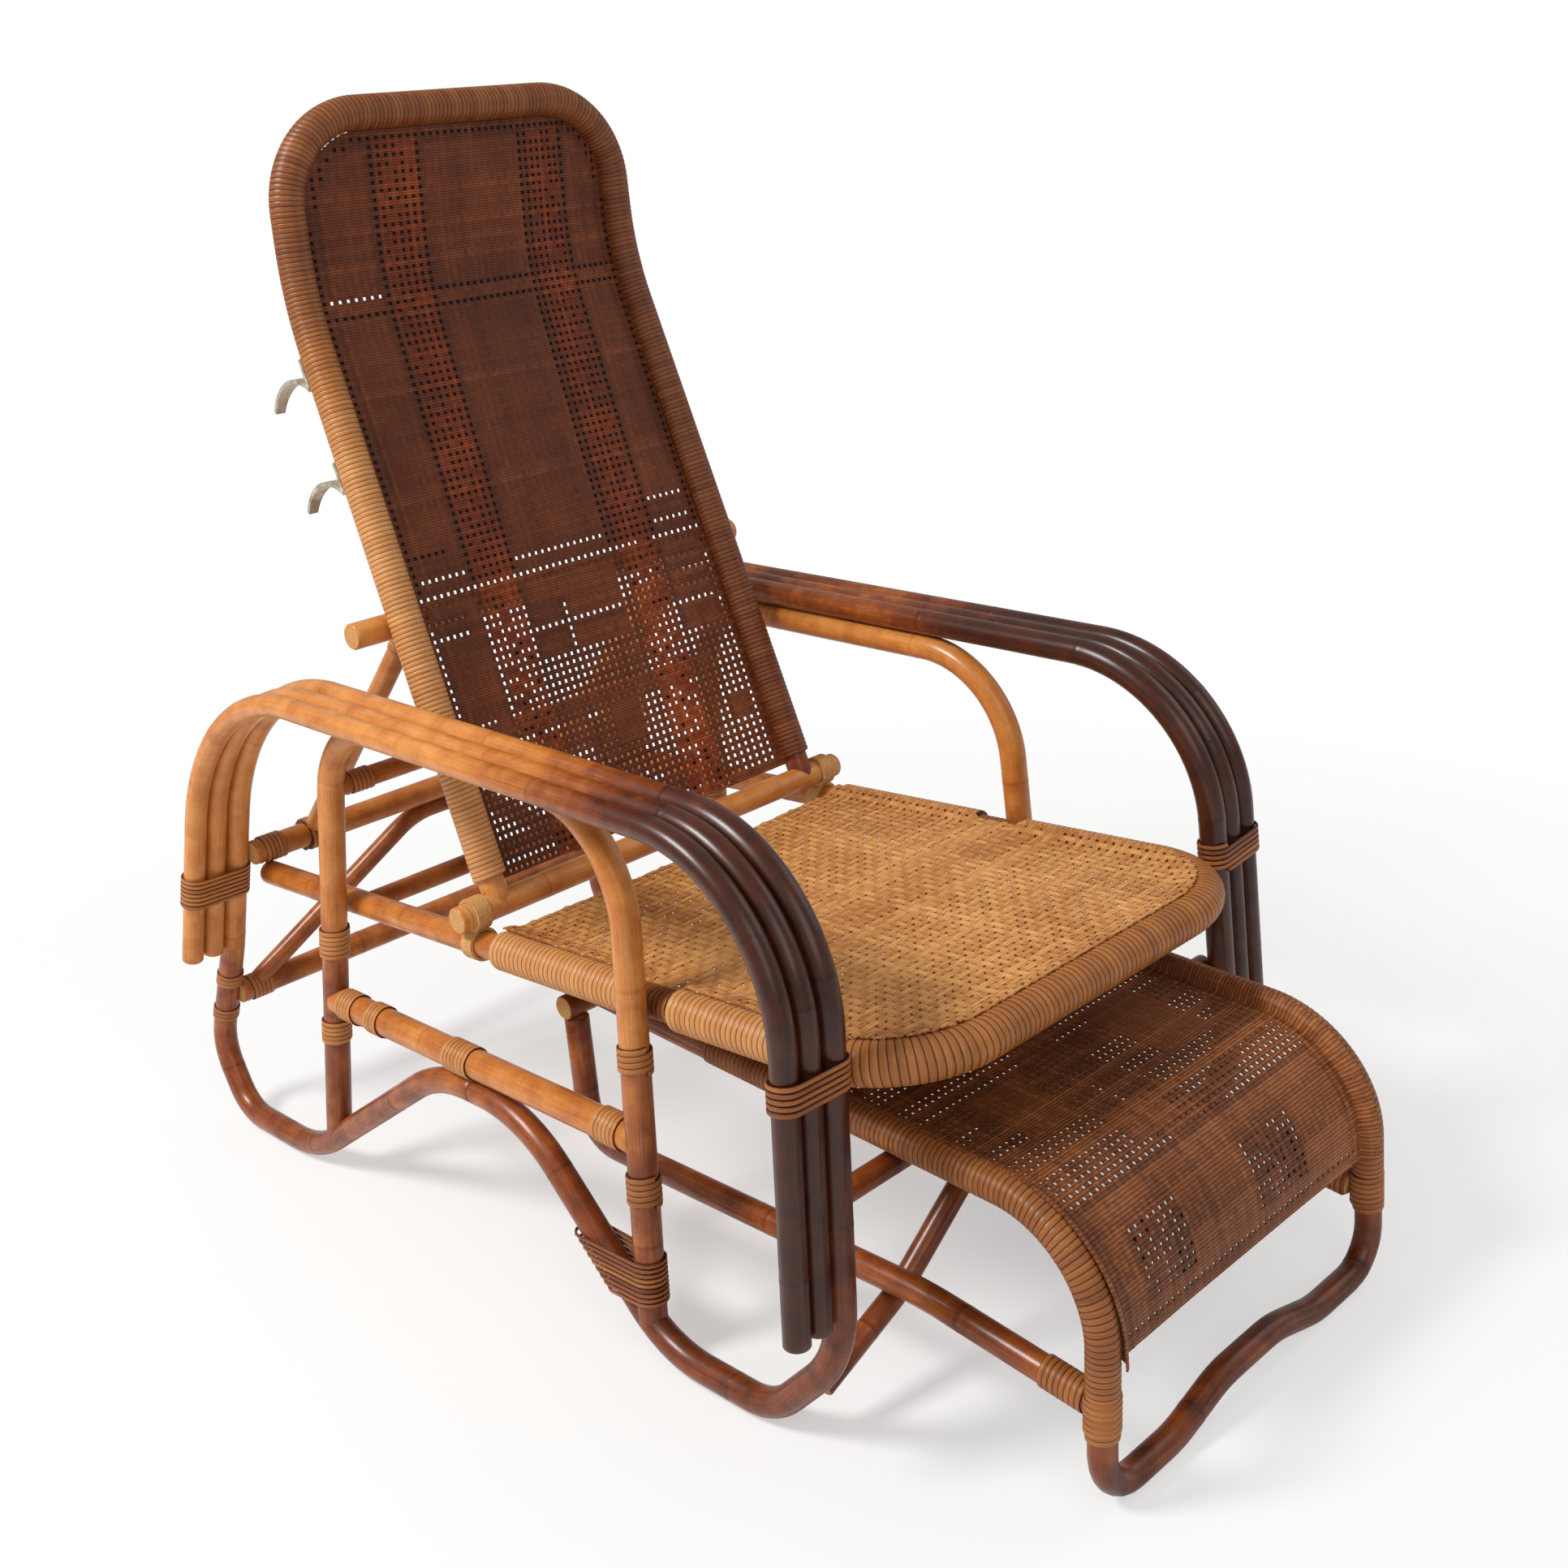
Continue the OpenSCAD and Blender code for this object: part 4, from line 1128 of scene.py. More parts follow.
        hoop = [(c.rear_post_y, c.rear_post_foot_z), (top_y, top_z(top_y)), (c.post_y, top_z(c.post_y)),
                (c.post_y, front_foot_z)]
        line = bent_line(c.side_path(c.arm_half_w, hoop, side), self.hoop_radii)
        make.cane(f"hoop_{word}", line, c.hoop_r, self.hoop_tone)
        z = c.stretcher_z
        x = side.value * c.side_x(c.arm_half_w, z)
        rail = straight((x, c.rear_post_at(z) - 4, z), (x, c.post_y + 4, z))
        make.cane(f"side_stretcher_{word}", rail, c.stretcher_r, 0.26)
        bands = ((13, 46), (rail.length - 50, rail.length - 13), (66, 92), (rail.length / 2 - 38, rail.length / 2 + 6))
        for k, span in enumerate(bands):
            make.winding(f"stretcher_wrap_{word}_{k + 1}", rail, c.stretcher_r + 1.9, 0.24, span, 5.0, 0.7,
                         () if k else [f"stretcher_wraps_{word}"])
        foot = line.length
        ties = ((foot - 264, foot - 236, 0.3), (foot - 145, foot - 112, 0.42), (116, 146, 0.28), (214, 250, 0.26))
        for k, (start, end, tone) in enumerate(ties):
            make.winding(f"post_tie_{word}_{k + 1}", line, c.hoop_r + 2.2, tone, (start, end), depth=1.0)

    def build_lashings(self) -> None:
        """Builds the three wound lashings that hold the side's canes together."""
        c, sign = self.chair, self.side.value
        front_y, front_slope = c.wave_front
        reach = c.loop_r + 0.25 + c.fit + self.strip_t / 2
        far = self.outer_w - c.arm_half_w - c.loop_r + c.arm_r
        rear_y = self.rear_end[0] - self.leg_slope * (self.rear_lashing_z - self.arm_rear_end_z)
        for leg, y, z, slope, turns, rise, tone in (
                ("rear", rear_y, self.rear_lashing_z, self.leg_slope, 7, 36, 0.3),
                ("front", c.front_leg_y, self.front_lashing_z, 0.0, 5, 26, 0.42)):
            axis = -Vector((sign * c.splay, slope, -1)).normalized()
            row = Vector((sign, 0, 0))
            row = (row - axis * row.dot(axis)).normalized()
            origin = Vector((sign * c.side_x(c.arm_half_w, z), y, z))
            node = f"{leg}_leg_lashing_{self.side.word}"
            self.make.lashing(node, Lashing(f"{node}_strip", origin, row, axis, turns, rise, reach, far, tone=tone))
        z = self.foot_lashing_z
        wave_reach = c.loop_r / math.sin(math.atan(front_slope)) - c.loop_r + 2.4
        wave_y = front_y + (z - c.foot_z) / front_slope
        axis = Vector((-sign * c.splay, 0, 1)).normalized()
        origin = Vector((sign * c.side_x(c.arm_half_w, z), c.post_y, z))
        node = f"post_foot_lashing_{self.side.word}"
        self.make.lashing(node, Lashing(f"{node}_strip", origin, Vector((0, 1, 0)), axis, 9, 42,
                                        c.hoop_r + c.fit + 0.3 + self.strip_t / 2, wave_y + wave_reach - c.post_y,
                                        1 / front_slope, tone=0.45))


@dataclass
class Seat:
    """The fixed seat: its bound frame, rear bar and twill weave."""

    chair: Chair
    finishes: Finishes
    roll_r: float = 18.5
    corner_r: float = 95
    rail_end_y: float = 488
    bar_y: float = 60
    bound_y: float = 98
    post_notch: float = 26
    weave_up: float = 13.2
    edge_rise: float = 5.6
    sag: float = 1.6
    def frame_line(self, end_y: float) -> Line:
        """Runs round the front of the seat between two places on its rails."""
        c = self.chair
        w, end = c.seat_half_w, c.seat_run(end_y)
        corners = [c.in_seat(x, run, 0) for x, run in ((-w, end), (-w, 0), (w, 0), (w, end))]
        return bent_line(corners, (self.corner_r, self.corner_r))

    def edge_tone(self, p: Vector) -> float:
        """Tan, with painted shade that browns it round the front corners."""
        return 0.18 + 0.2 * between(p.y, -300, -430)

    def inside(self, x: float, s: float) -> float:
        """Depth inside the weave's outline, less than zero outside it."""
        w = self.chair.seat_half_w - 5
        front, r = 5.0, self.corner_r - 5
        return min(w - abs(x), s - front, corner_depth(abs(x) - (w - r), (front + r) - s, r))

    def surface(self, x: float, s: float) -> tuple[Vector, Vector]:
        """Point and upward direction on the weave, which rises over the rolls at its edge."""
        depth = self.inside(x, s)
        beside_post = between(abs(s - self.chair.seat_run(self.chair.post_y)), 36, 22)
        up = self.weave_up + self.edge_rise * between(depth, 26, 3) * (1 - beside_post) - self.sag * between(
            depth, 40, 160)
        return self.chair.in_seat(x, s, up), Vector((0, math.sin(math.radians(self.chair.seat_tilt)), 1))

    def build(self) -> None:
        """Builds and dresses the seat."""
        c, make = self.chair, Builder(self.finishes, "frame")
        make.cane("seat_frame", self.frame_line(self.rail_end_y), c.seat_cane_r, 0.3)
        make.winding("seat_binding_front", self.frame_line(c.post_y - self.post_notch), self.roll_r, self.edge_tone,
                     pitch=6.2, nodes=["seat_binding"])

        def rail_part(x: float, *ends: float) -> Line:
            """Makes a rail's centreline between two places along the chair."""
            return Line([c.in_seat(x, c.seat_run(y), 0) for y in ends])

        for side in Side:
            x = side.value * c.seat_half_w
            make.winding(f"seat_binding_rear_{side.word}", rail_part(x, c.post_y + self.post_notch, self.bound_y - 30),
                         self.roll_r, self.edge_tone, pitch=6.2)
            make.winding(f"seat_post_tie_{side.word}", rail_part(x, c.post_y - 27, c.post_y + 30), c.seat_cane_r + 1.3,
                         0.5, pitch=5.2, depth=0.6)
        bar_w = c.seat_half_w - self.roll_r - c.fit
        ends = [c.in_seat(sign * bar_w, c.seat_run(self.bar_y), 0) for sign in (-1, 1)]
        make.cane("seat_rear_bar", Line(ends), c.cross_r, 0.35)
        self.build_weave()

    def build_weave(self) -> None:
        """Builds the twill of the seat, with its border of small holes."""
        c = self.chair
        length = c.seat_run(self.bar_y) + c.cross_r

        def over(column: int, row: int) -> bool:
            """Twill of threes that turns back in the middle and again at the sides."""
            turn = abs((column % 22) - 11)
            return (turn + row) % 4 < 2

        def tone(x: float, s: float) -> float:
            """Golden, with painted shade that browns it a little to the rear and along the edge."""
            return 0.1 + 0.12 * between(s, 320, 520) + 0.1 * between(self.inside(x, s), 40, 0)

        patches = [Patch(Weave.OPEN, -300, 300, 0, length)]
        patches += [Patch(Weave.CLOSED, -300, 300, s, s + 16) for s in (196, 222, 248, 274, 300)]
        patches += [Patch(Weave.CLOSED, -150, 150, s, s + 8) for s in (96, 132, 352, 392)]
        panel = WovenPanel("seat_weave_panel", c.seat_half_w - 4, length, self.surface, self.inside, over, patches,
                           pitch_x=10.2, pitch_s=9.6, strand=0.68, mixed_strand=0.7, edge_strand=0.66, lift=1.9,
                           closed_lift=2.0, border=(10.0, 16.5), tone=tone)
        panel.dress("frame", Slot.SEAT, self.finishes.seat, ["seat_weave"])


@dataclass
class CrossPieces:
    """Bars and arches that join the two sides."""

    chair: Chair
    finishes: Finishes
    lower_bar: tuple[float, float] = (550, 150)
    hoop_bar_z: float = 437
    rail_bar_y: float = 300
    foot_rail_z: float = 251
    # The bars' ends reach this far over the canes that carry them, where the CAD cuts a seat
    seated: float = 5.5
    foot_half_w: float = 190
    foot_r: float = 12
    rear_arch_half_w: float = 240
    rear_arch_radii: tuple[float, float] = (70, 70)
    arch_foot: tuple[float, float] = (-347, 57)
    runner_z: float = 100
    shoulder_x: float = 165
    shoulder_turn: float = 22.5
    crown_x: float = 45
    front_arch_radii: tuple[float, float, float, float] = (120, 70, 70, 120)

    def bar(self, name: str, half: float, y: float, z: float, r: float, tone: float,
            slot: Slot = Slot.HONEY) -> Line:
        """Builds one straight bar across the chair."""
        line = straight((-half - self.seated, y, z), (half + self.seated, y, z))
        Builder(self.finishes, "frame").cane(name, line, r, tone, slot)
        return line

    def build(self) -> None:
        """Builds and dresses the bars, the arches and their ties."""
        c, make = self.chair, Builder(self.finishes, "frame")
        clear = c.loop_r + c.fit + 0.1
        r = c.rear_bar_r
        y, z = c.upper_bar
        upper = self.bar("rear_upper_bar", c.side_x(c.arm_half_w, z) - clear - 3.2, y, z, r, 0.26)
        low_y, low_z = self.lower_bar
        lower = self.bar("rear_lower_bar", c.side_x(c.arm_half_w, low_z) - clear, low_y, low_z, r, 0.36)
        hoop = self.bar("hoop_bar", c.side_x(c.arm_half_w, self.hoop_bar_z) - c.hoop_r - 2 * c.fit,
                        c.rear_post_at(self.hoop_bar_z), self.hoop_bar_z, c.cross_r, 0.3)
        self.bar("rail_bar", c.seat_half_w - c.seat_cane_r - c.fit, self.rail_bar_y, c.seat_z(self.rail_bar_y),
                 c.cross_r, 0.35)
        front_y = c.front_leg_y + c.loop_r + c.cross_r + c.fit + 0.3
        front_z = self.foot_rail_z - 36
        self.bar("front_bar", c.side_x(c.arm_half_w, front_z), front_y, front_z, c.cross_r, 0.55, Slot.DARK)
        foot = Vector((0, low_y, low_z))
        up = (Vector((0, y, z)) - foot).normalized()
        top = Vector((0, y, z)) - up * (r + c.cross_r + c.fit + 0.2)
        half = [foot + Vector((-self.rear_arch_half_w, 0, 0)) + up * 8, top - Vector((40, 0, 0))]
        line = bent_line(half + mirrored(half), self.rear_arch_radii)
        make.cane("rear_arch", line, c.cross_r, 0.42, Slot.DARK)
        self.build_front_arch(make, front_y, front_z)
        for k, (bar, radius) in enumerate(((hoop, c.cross_r), (upper, r), (lower, r))):
            for end, span in (("right", (8, 38)), ("left", (bar.length - 38, bar.length - 8))):
                make.winding(f"bar_tie_{k + 1}_{end}", bar, radius + 1.6, 0.34, span)

    def build_front_arch(self, make: Builder, front_y: float, front_z: float) -> None:
        """Builds the arch between the front feet."""
        c, turn = self.chair, math.radians(self.shoulder_turn)
        foot_x = c.side_x(c.arm_half_w, self.arch_foot[1]) - (c.loop_r + c.fit + 0.1)
        runner = self.runner_z - (self.foot_r + c.cross_r + c.fit) / math.cos(turn)
        base_z = runner - math.tan(turn) * (foot_x - self.foot_half_w)
        shoulder_z = runner + math.tan(turn) * (self.foot_half_w - self.shoulder_x)
        top_z = front_z - 2 * c.cross_r - c.fit - 0.2
        half = [Vector((foot_x, self.arch_foot[0], base_z)),
                Vector((self.shoulder_x, self.arch_foot[0] - 2, shoulder_z)), Vector((self.crown_x, front_y, top_z))]
        make.cane("front_arch", bent_line(half + mirrored(half), self.front_arch_radii), c.cross_r, 0.55, Slot.DARK)


@dataclass
class Back:
    """The reclining back: pivot bar, bound frame and open-work weave."""

    chair: Chair
    finishes: Finishes
    foot_half_w: float = 207
    top_half_w: float = 197
    lean: float = 19.5
    top_z: float = 1074
    corner_r: float = 88
    roll_r: float = 16.5
    cane_r: float = 13
    bend_z: float = 908
    bend_r: float = 300
    pivot_half_l: float = 256
    strand_lean: float = 0.058

    def __post_init__(self) -> None:
        """Works out the back's own path."""
        y, z = self.chair.pivot
        self.bend_y = y + (self.bend_z - z) * math.tan(math.radians(self.lean))
        bend_w = self.foot_half_w + (self.top_half_w - self.foot_half_w) * (self.bend_z - z) / (self.top_z - z)
        half = [Vector((-self.foot_half_w, y, z)), Vector((-bend_w, self.bend_y, self.bend_z)),
                Vector((-self.top_half_w, self.bend_y, self.top_z))]
        self.line = bent_line(half + mirrored(half), (self.bend_r, self.corner_r, self.corner_r, self.bend_r))
        self.middle = bent_line([Vector((0, p.y, p.z)) for p in half], (self.bend_r,))

    def edge_tone(self, p: Vector) -> float:
        """Pale honey up the near rail, darker over the top, and painted shade down the far rail."""
        top = between(p.z, 700, 960)
        far = between(p.x, -60, 190)
        return 0.14 + 0.42 * max(top * 0.9, far)

    def half_width(self, s: float) -> float:
        """Half width of the weave at a distance up the back."""
        share = s / self.middle.length
        return self.foot_half_w + (self.top_half_w - self.foot_half_w) * share - self.roll_r + 3

    def inside(self, x: float, s: float) -> float:
        """Depth inside the weave's outline."""
        w = self.half_width(s)
        top, base, r = self.middle.length - self.roll_r + 3, self.cane_r + 7.0, self.corner_r - self.roll_r + 3
        corner = corner_depth(abs(x) - (w - r), s - (top - r), r)
        return min(w - abs(x), top - s, s - base, corner)

    def surface(self, x: float, s: float) -> tuple[Vector, Vector]:
        """Point and forward direction on the weave; its strands lean a little, as hand work does."""
        forward = Vector((1, 0, 0)).cross(self.middle.heading(s)).normalized()
        forward = forward if forward.y < 0 else -forward
        lean = self.strand_lean * (s - 400) * max(0.0, 1 - (x / self.half_width(s)) ** 2)
        return self.middle.at(s)[0] + Vector((x + lean, 0, 0)), forward

    def patches(self) -> list[Patch]:
        """The open, mixed and pocketed patches of the weave, from the border inwards."""
        closed, open_, mixed, pocket = Weave
        rows = [Patch(open_, -185, 185, s, s + 8.2) for s in (288, 296, 312)] + [
            Patch(pocket, -185, 185, 571, 579), Patch(pocket, -60, 185, 588, 596), Patch(open_, -185, -114, 588, 596),
            Patch(pocket, -185, -132, 330, 338), Patch(open_, 120, 185, 330, 338)]
        left = [Patch(open_, -185, -132, s, s + 8.2) for s in (252, 268, 160)] + [Patch(open_, -185, -120, 24, 116)]
        centre = [Patch(open_, -60, 62, 20, 208), Patch(closed, 8, 44, 104, 146), Patch(open_, -60, 62, 232, 240),
                  Patch(open_, -20, -10, 205, 262)]
        right = [Patch(open_, 128, 185, s, s + 8.2) for s in (222, 238, 254, 270)] + [
            Patch(open_, 120, 185, 30, 194), Patch(closed, 150, 172, 84, 112)]
        bands = [Patch(mixed, -114, -60, 20, 740), Patch(mixed, 66, 120, 20, 740)]
        rims = [Patch(kind, x - 4, x + 5, low, high) for x in (-114, -60, 66, 120)
                for kind, low, high in ((open_, 20, 300), (pocket, 300, 740))]
        return rows + left + centre + right + bands + rims

    def build(self) -> None:
        """Builds and dresses the back."""
        make = Builder(self.finishes, "back")
        y, z = self.chair.pivot
        bar = straight((-self.pivot_half_l, y, z), (self.pivot_half_l, y, z))
        make.cane("pivot_bar", bar, self.cane_r, 0.16)
        make.cane("back_frame", self.line, self.cane_r, self.edge_tone, Slot.DARK)
        start = self.cane_r + 12.0
        make.winding("back_binding_strip", self.line, self.roll_r, self.edge_tone, (start, self.line.length - start),
                     4.6, 0.6, ["back_binding"])
        for end, span in (("right", (2, 40)), ("left", (bar.length - 40, bar.length - 2))):
            make.winding(f"pivot_end_wrap_{end}", bar, self.cane_r, 0.12, span, 5.0, 0.5, slot=Slot.PALE)

        def over(column: int, row: int) -> bool:
            """Plain weave, one over and one under."""
            return (column + row) % 2 == 0

        def tone(x: float, s: float) -> float:
            """Dark red-brown, a little lighter low on the far side."""
            return 0.36 - 0.16 * between(s, 330, 120) * between(x, -120, 120)

        panel = WovenPanel("back_weave_panel", self.foot_half_w - self.roll_r + 5, self.middle.length, self.surface,
                           self.inside, over, self.patches(), 8.4, 8.2, strand=0.56, mixed_strand=0.6,
                           edge_strand=0.6, lift=1.0, closed_lift=0.3, thick=1.5, border=(6.0, 14.0), fine_above=300,
                           tone=tone)
        panel.dress("back", Slot.BACK, self.finishes.back, ["back_weave"])
        repaint([f"{level}_hook_{side.word}" for side in Side for level in ("upper", "lower")], self.finishes.metal)


@dataclass
class Prop:
    """The prop behind the back: a bar on two struts with eyes on the upper rear bar."""

    chair: Chair
    finishes: Finishes
    bar_r: float = 13
    half_l: float = 247
    rest_s: float = 284
    offset: float = 16.5 + 13 + 0.3
    lean: float = 19.5
    half_w: float = 176
    strut_r: float = 11
    eye_w: float = 24
    eye_r: float = 18.4
    strut_from: float = 18.8

    def build(self) -> None:
        """Builds and dresses the prop."""
        c, make = self.chair, Builder(self.finishes, "prop")
        py, pz = c.pivot
        t = math.radians(self.lean)
        y = py + self.rest_s * math.sin(t) + self.offset * math.cos(t)
        z = pz + self.rest_s * math.cos(t) - self.offset * math.sin(t)
        make.cane("prop_bar", straight((-self.half_l, y, z), (self.half_l, y, z)), self.bar_r, 0.14)
        uy, uz = c.upper_bar
        for side in Side:
            word, x = side.word, side.value * self.half_w
            low, high = Vector((x, uy, uz)), Vector((x, y, z))
            run = (high - low).normalized()
            line = Line([low + run * (self.strut_from - 2), high - run * (self.bar_r + c.fit - 2)])
            make.cane(f"prop_strut_{word}", line, self.strut_r, 0.2)
            eye = straight((x - self.eye_w / 2, uy, uz), (x + self.eye_w / 2, uy, uz))
            make.winding(f"prop_eye_{word}", eye, self.eye_r, 0.3, pitch=4.6, depth=1.0,
                         nodes=["prop_loops"] if side is Side.RIGHT else [])
            make.winding(f"prop_tie_{word}", Line([high - run * 52, high - run * 18]), self.strut_r + 1.6, 0.26)


@dataclass
class Footrest:
    """The sliding footrest: one long bent cane, bound rails, woven top and lower rails."""

    chair: Chair
    finishes: Finishes
    r: float = 12
    roll_r: float = 13.75
    half_w: float = 190
    rail_z: float = 251
    tilt: float = 4
    front_y: float = -582
    rear_y: float = 36
    bend_r: float = 100
    wave_h: float = 18
    low_z: float = 113
    low_end_z: float = 89
    bound_y: float = -165
    bound_z: float = 66
    lower_edge: float = 125
    foot_out: float = 10
    foot_radii: tuple[float, float, float] = (38, 100, 110)

    def __post_init__(self) -> None:
        """Works out the rails' heights and the frame's path."""
        c = self.chair
        self.bar_y = c.front_leg_y + c.loop_r + c.cross_r + c.fit + 0.3
        floor = self.r + 0.25
        self.leg_y = self.front_y + 5
        self.half = [Vector((self.half_w, self.rear_y, self.z_at(self.rear_y))),
                     Vector((self.half_w, self.front_y, self.z_at(self.front_y))),
                     Vector((self.half_w + self.foot_out, self.leg_y, floor)), Vector((105, self.leg_y, floor)),
                     Vector((40, self.leg_y, floor + self.wave_h))]
        self.radii = [self.bend_r, *self.foot_radii]
        self.path = bent_line([Vector((0, self.bound_y, self.z_at(self.bound_y))),
                               Vector((0, self.front_y, self.z_at(self.front_y))),
                               Vector((0, self.front_y, self.lower_edge))], (self.bend_r,))

    def z_at(self, y: float) -> float:
        """Height of the rails' centre at a place along the chair."""
        return self.rail_z + math.tan(math.radians(self.tilt)) * (y - self.bar_y)

    def surface(self, x: float, s: float) -> tuple[Vector, Vector]:
        """Point and outward direction on the weave, whose sides hug the rails."""
        out = self.path.heading(s).cross(Vector((1, 0, 0))).normalized()
        out = out if out.z - out.y > 0 else -out
        reach = self.half_w - abs(x)
        rise = math.sqrt(max(0.0, self.roll_r ** 2 - reach ** 2)) if reach < self.roll_r else 0.0
        sag = 1.0 * between(reach, 30, 120)
        return self.path.at(s)[0] + Vector((x, 0, 0)) + out * (rise + 0.8 - sag), out

    def build(self) -> None:
        """Builds and dresses the footrest."""
        c, make = self.chair, Builder(self.finishes, "footrest")
        line = bent_line(self.half + mirrored(self.half), self.radii + self.radii[::-1])
        make.cane("footrest_frame", line, self.r, lambda p: 0.52 + 0.1 * between(p.z, 120, 30), Slot.DARK)
        front = self.half[1]
        leg = self.half[2] - front
        end = front + leg * (front.z - self.bound_z) / (front.z - self.half[2].z)
        for side in Side:
            s = side.value
            corners = [Vector((s * self.half_w, self.bound_y, self.z_at(self.bound_y))),
                       Vector((s * front.x, self.front_y, front.z)), Vector((s * end.x, end.y, end.z))]
            node = f"footrest_binding_{side.word}"
            make.winding(f"{node}_strip", bent_line(corners, (self.bend_r,)), self.roll_r,
                         lambda p: 0.47 - 0.1 * between(p.z, 150, 80), pitch=5.0, depth=0.6, nodes=[node])
            self.build_lower_rail(make, side)
        self.build_weave()
        for name, y, drop, half, r in (
                ("footrest_weave_bar", self.bound_y - c.cross_r, c.cross_r + 2 + c.fit,
                 self.half_w - self.roll_r - c.fit, c.cross_r),
                ("footrest_rear_bar", self.rear_y - self.r, 2 * self.r + c.fit + 0.4, self.half_w + 14, self.r)):
            z = self.z_at(y) - drop
            make.cane(name, straight((-half, y, z), (half, y, z)), r, 0.5, Slot.DARK)

    def build_lower_rail(self, make: Builder, side: Side) -> None:
        """Builds one rear post with its lower rail, bent down and wrapped at the front."""
        s = side.value
        y = self.rear_y - self.r
        top = self.z_at(y) - 2 * self.r - 0.7 - self.r - 0.3
        low = [Vector((s * self.half_w, y, z)) for y, z in (
            (y, top), (y, self.low_z), (-400, self.low_z), (self.leg_y + self.roll_r - 2, self.low_end_z + 1))]
        line = bent_line(low, (40, 300))
        node = f"footrest_stretcher_{side.word}"
        make.cane(node, line, self.r, 0.5, Slot.DARK)
        make.winding(f"{node}_wrap", line, self.r + 1.5, 0.42, (line.length - 48, line.length - 2))
        foot = straight((s * (self.half_w + 5), self.leg_y - 1.5, 108),
                        (s * (self.half_w + 6.6), self.leg_y - 0.5, 72))
        make.winding(f"footrest_leg_tie_{side.word}", foot, self.roll_r + 1.2, 0.4, pitch=5.0, depth=0.9)

    def build_weave(self) -> None:
        """Builds the ribbed weave with its rows of holes and the two open patches in front."""
        length = self.path.length
        turn = length - 45 - self.bend_r * 0.9

        def over(column: int, row: int) -> bool:
            """Plain weave, one over and one under."""
            return (column + row) % 2 == 0

        # Open rows all along with closed ribs and fields over them, then the two patches in front
        patches = [Patch(Weave.OPEN, -176, 176, 0, turn + 20)]
        patches += [Patch(Weave.CLOSED, -176, 176, s, s + 9)
                    for s in (31, 62, 86, 118, 150, 181, 205, 244, 276, 300, 331)]
        patches += [Patch(Weave.CLOSED, *bounds) for bounds in (
            (-120, -60, 230, 310), (-10, 60, 60, 150), (60, 130, 215, 300), (-60, 0, 320, 372))]
        patches += [Patch(Weave.MIXED, x0, x1, length - 90, length - 25) for x0, x1 in ((-135, -70), (20, 95))]
        patches += [Patch(Weave.OPEN, -176, 176, s0, s1) for s0, s1 in ((length - 16, length - 8), (turn, turn + 16))]

        def inside(x: float, s: float) -> float:
            """Depth inside the weave's outline."""
            return min(self.half_w - 2.5 - abs(x), s + 40, length - s + 40)

        def tone(x: float, s: float) -> float:
            """Brown, lighter towards the far front."""
            return 0.34 - 0.18 * between(x, 20, 170) * between(s, 180, 380)

        panel = WovenPanel("footrest_weave_panel", self.half_w - 2, length, self.surface, inside, over, patches, 8.2,
                           7.6, strand=0.6, lift=1.0, closed_lift=0.45, thick=1.5, border=(16.0, 23.0), tone=tone)
        panel.dress("footrest", Slot.FOOT, self.finishes.foot, ["footrest_weave"])


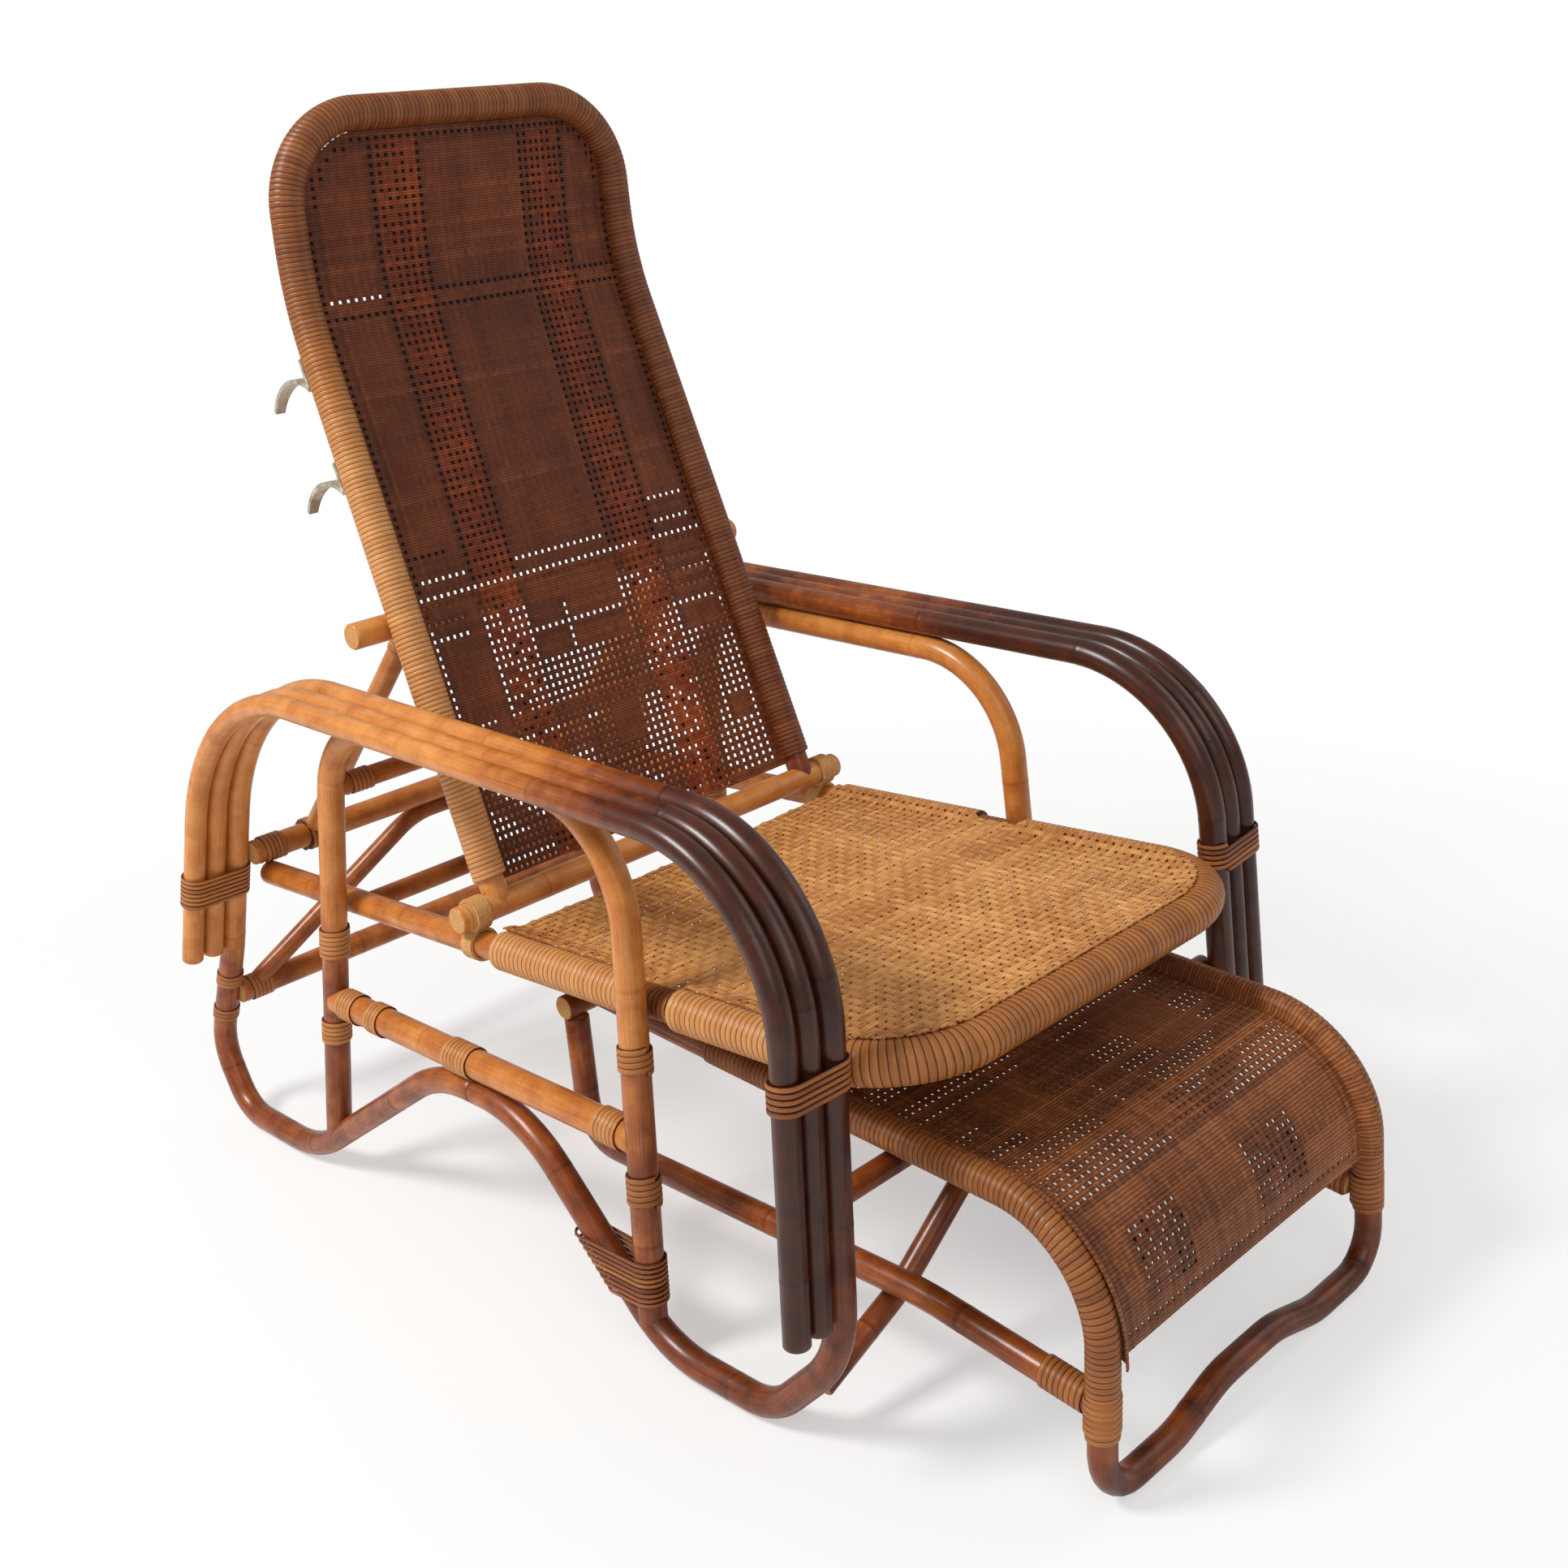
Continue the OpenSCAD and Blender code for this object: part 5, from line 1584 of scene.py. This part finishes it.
@dataclass
class Studio:
    """Pale floor, soft lamps and the camera at the photograph's place."""

    # Camera place in millimetres, its bearings in degrees and its lens in pixels of a 1932 pixel square
    place: tuple[float, float, float] = (-1174.044, -1335.732, 1033.146)
    azimuth: float = -43.629
    elevation: float = 16.182
    roll: float = -5.218
    focal_px: float = 2374.276
    centre_px: tuple[float, float] = (968.964, 837.07)
    image_px: float = 1932
    sensor_mm: float = 36.0
    # The floor fades to white between these distances from the middle of the chair, in metres
    fade_m: tuple[float, float] = (0.35, 1.5)
    floor_m: float = 14
    # How much of the floor's own white the camera sees under the chair, and the sky's strength off camera
    floor_glow: float = 0.45
    sky_strength: float = 0.42
    # Name, place and size in metres, and power of each lamp
    lamps: Sequence[tuple[str, tuple[float, float, float], float, float]] = (
        ("key_lamp", (-2.4, 0.9, 3.2), 1.2, 120.0), ("front_lamp", (-1.4, -3.4, 2.6), 2.6, 30.0),
        ("fill_lamp", (3.0, -1.6, 2.4), 2.6, 15.0))
    aim: tuple[float, float, float] = (0, 0, 0.5)

    def build_camera(self) -> None:
        """Sets the camera by its measured place, bearings and lens."""
        a, e, t = (math.radians(v) for v in (self.azimuth, self.elevation, self.roll))
        back = Vector((math.sin(a) * math.cos(e), -math.cos(a) * math.cos(e), math.sin(e)))
        right = Vector((math.cos(a), math.sin(a), 0))
        up = back.cross(right)
        right, up = right * math.cos(t) + up * math.sin(t), up * math.cos(t) - right * math.sin(t)
        data = bpy.data.cameras.new("photo_camera")
        data.sensor_fit = "HORIZONTAL"
        data.sensor_width = self.sensor_mm
        data.lens = self.focal_px / self.image_px * self.sensor_mm
        data.shift_x = (self.image_px / 2 - self.centre_px[0]) / self.image_px
        data.shift_y = (self.centre_px[1] - self.image_px / 2) / self.image_px
        data.clip_end = 60
        camera = new_object("photo_camera", data)
        axes = Matrix((right, up, back)).transposed().to_4x4()
        camera.matrix_world = Matrix.Translation(world(Vector(self.place))) @ axes
        bpy.context.scene.camera = camera

    def build_floor(self) -> None:
        """Lays a wide pale floor that the camera sees as white away from the chair's shadow."""
        bm = bmesh.new()
        bmesh.ops.create_circle(bm, cap_ends=True, segments=64, radius=self.floor_m)
        mesh = bpy.data.meshes.new("studio_floor")
        bm.to_mesh(mesh)
        bm.free()
        floor = new_object("studio_floor", mesh)
        graph = Graph(bpy.data.materials.new("matt_white_floor"))
        away = graph.add("ShaderNodeVectorMath", {"operation": "LENGTH", 0: graph.spot()}, "Value")
        fade = graph.add("ShaderNodeMapRange", {"From Min": self.fade_m[0], "From Max": self.fade_m[1],
                                                "To Min": self.floor_glow, "To Max": 1.0, "Value": away})
        seen = graph.calc("MULTIPLY", graph.add("ShaderNodeLightPath", {}, "Is Camera Ray"), fade)
        skin = graph.add("ShaderNodeBsdfDiffuse", {"Color": linear("#F4F3F1")})
        glow = graph.add("ShaderNodeEmission", {"Color": (1, 1, 1, 1), "Strength": 1.0})
        mix = graph.add("ShaderNodeMixShader", {0: seen, 1: skin, 2: glow})
        mesh.materials.append(graph.finish("ShaderNodeOutputMaterial", mix))

    def build_lamps(self) -> None:
        """Hangs the lamps, over an even pale world."""
        for name, spot, size, power in self.lamps:
            data = bpy.data.lights.new(name, "AREA")
            data.shape = "DISK"
            data.size = size
            data.energy = power
            lamp = new_object(name, data)
            lamp.location = spot
            lamp.rotation_euler = (Vector(self.aim) - Vector(spot)).to_track_quat("-Z", "Y").to_euler()
        graph = Graph(bpy.data.worlds.new("even_sky"))
        seen = graph.add("ShaderNodeLightPath", {}, "Is Camera Ray")
        strength = graph.add("ShaderNodeMapRange", {"To Min": self.sky_strength, "To Max": 1.0, "Value": seen})
        light = graph.add("ShaderNodeBackground", {"Color": (1, 1, 1, 1), "Strength": strength})
        bpy.context.scene.world = graph.finish("ShaderNodeOutputWorld", light)

    def build(self) -> None:
        """Builds the whole studio."""
        self.build_camera()
        self.build_floor()
        self.build_lamps()
        bpy.context.scene.view_settings.view_transform = "Standard"


def main() -> None:
    """Builds the studio and every sub-assembly in order."""
    logging.basicConfig(level=logging.INFO, format="%(message)s")
    Studio().build()
    finishes = Finishes()
    chair = Chair()
    for side in Side:
        SideFrame(chair, finishes, side).build()
    for part in (CrossPieces, Seat, Back, Prop, Footrest):
        part(chair, finishes).build()
    # The loops that hold the pivot bar stay the CAD's own
    repaint([f"pivot_loop_{side.word}" for side in Side], finishes.end)


if __name__ == "__main__":
    main()
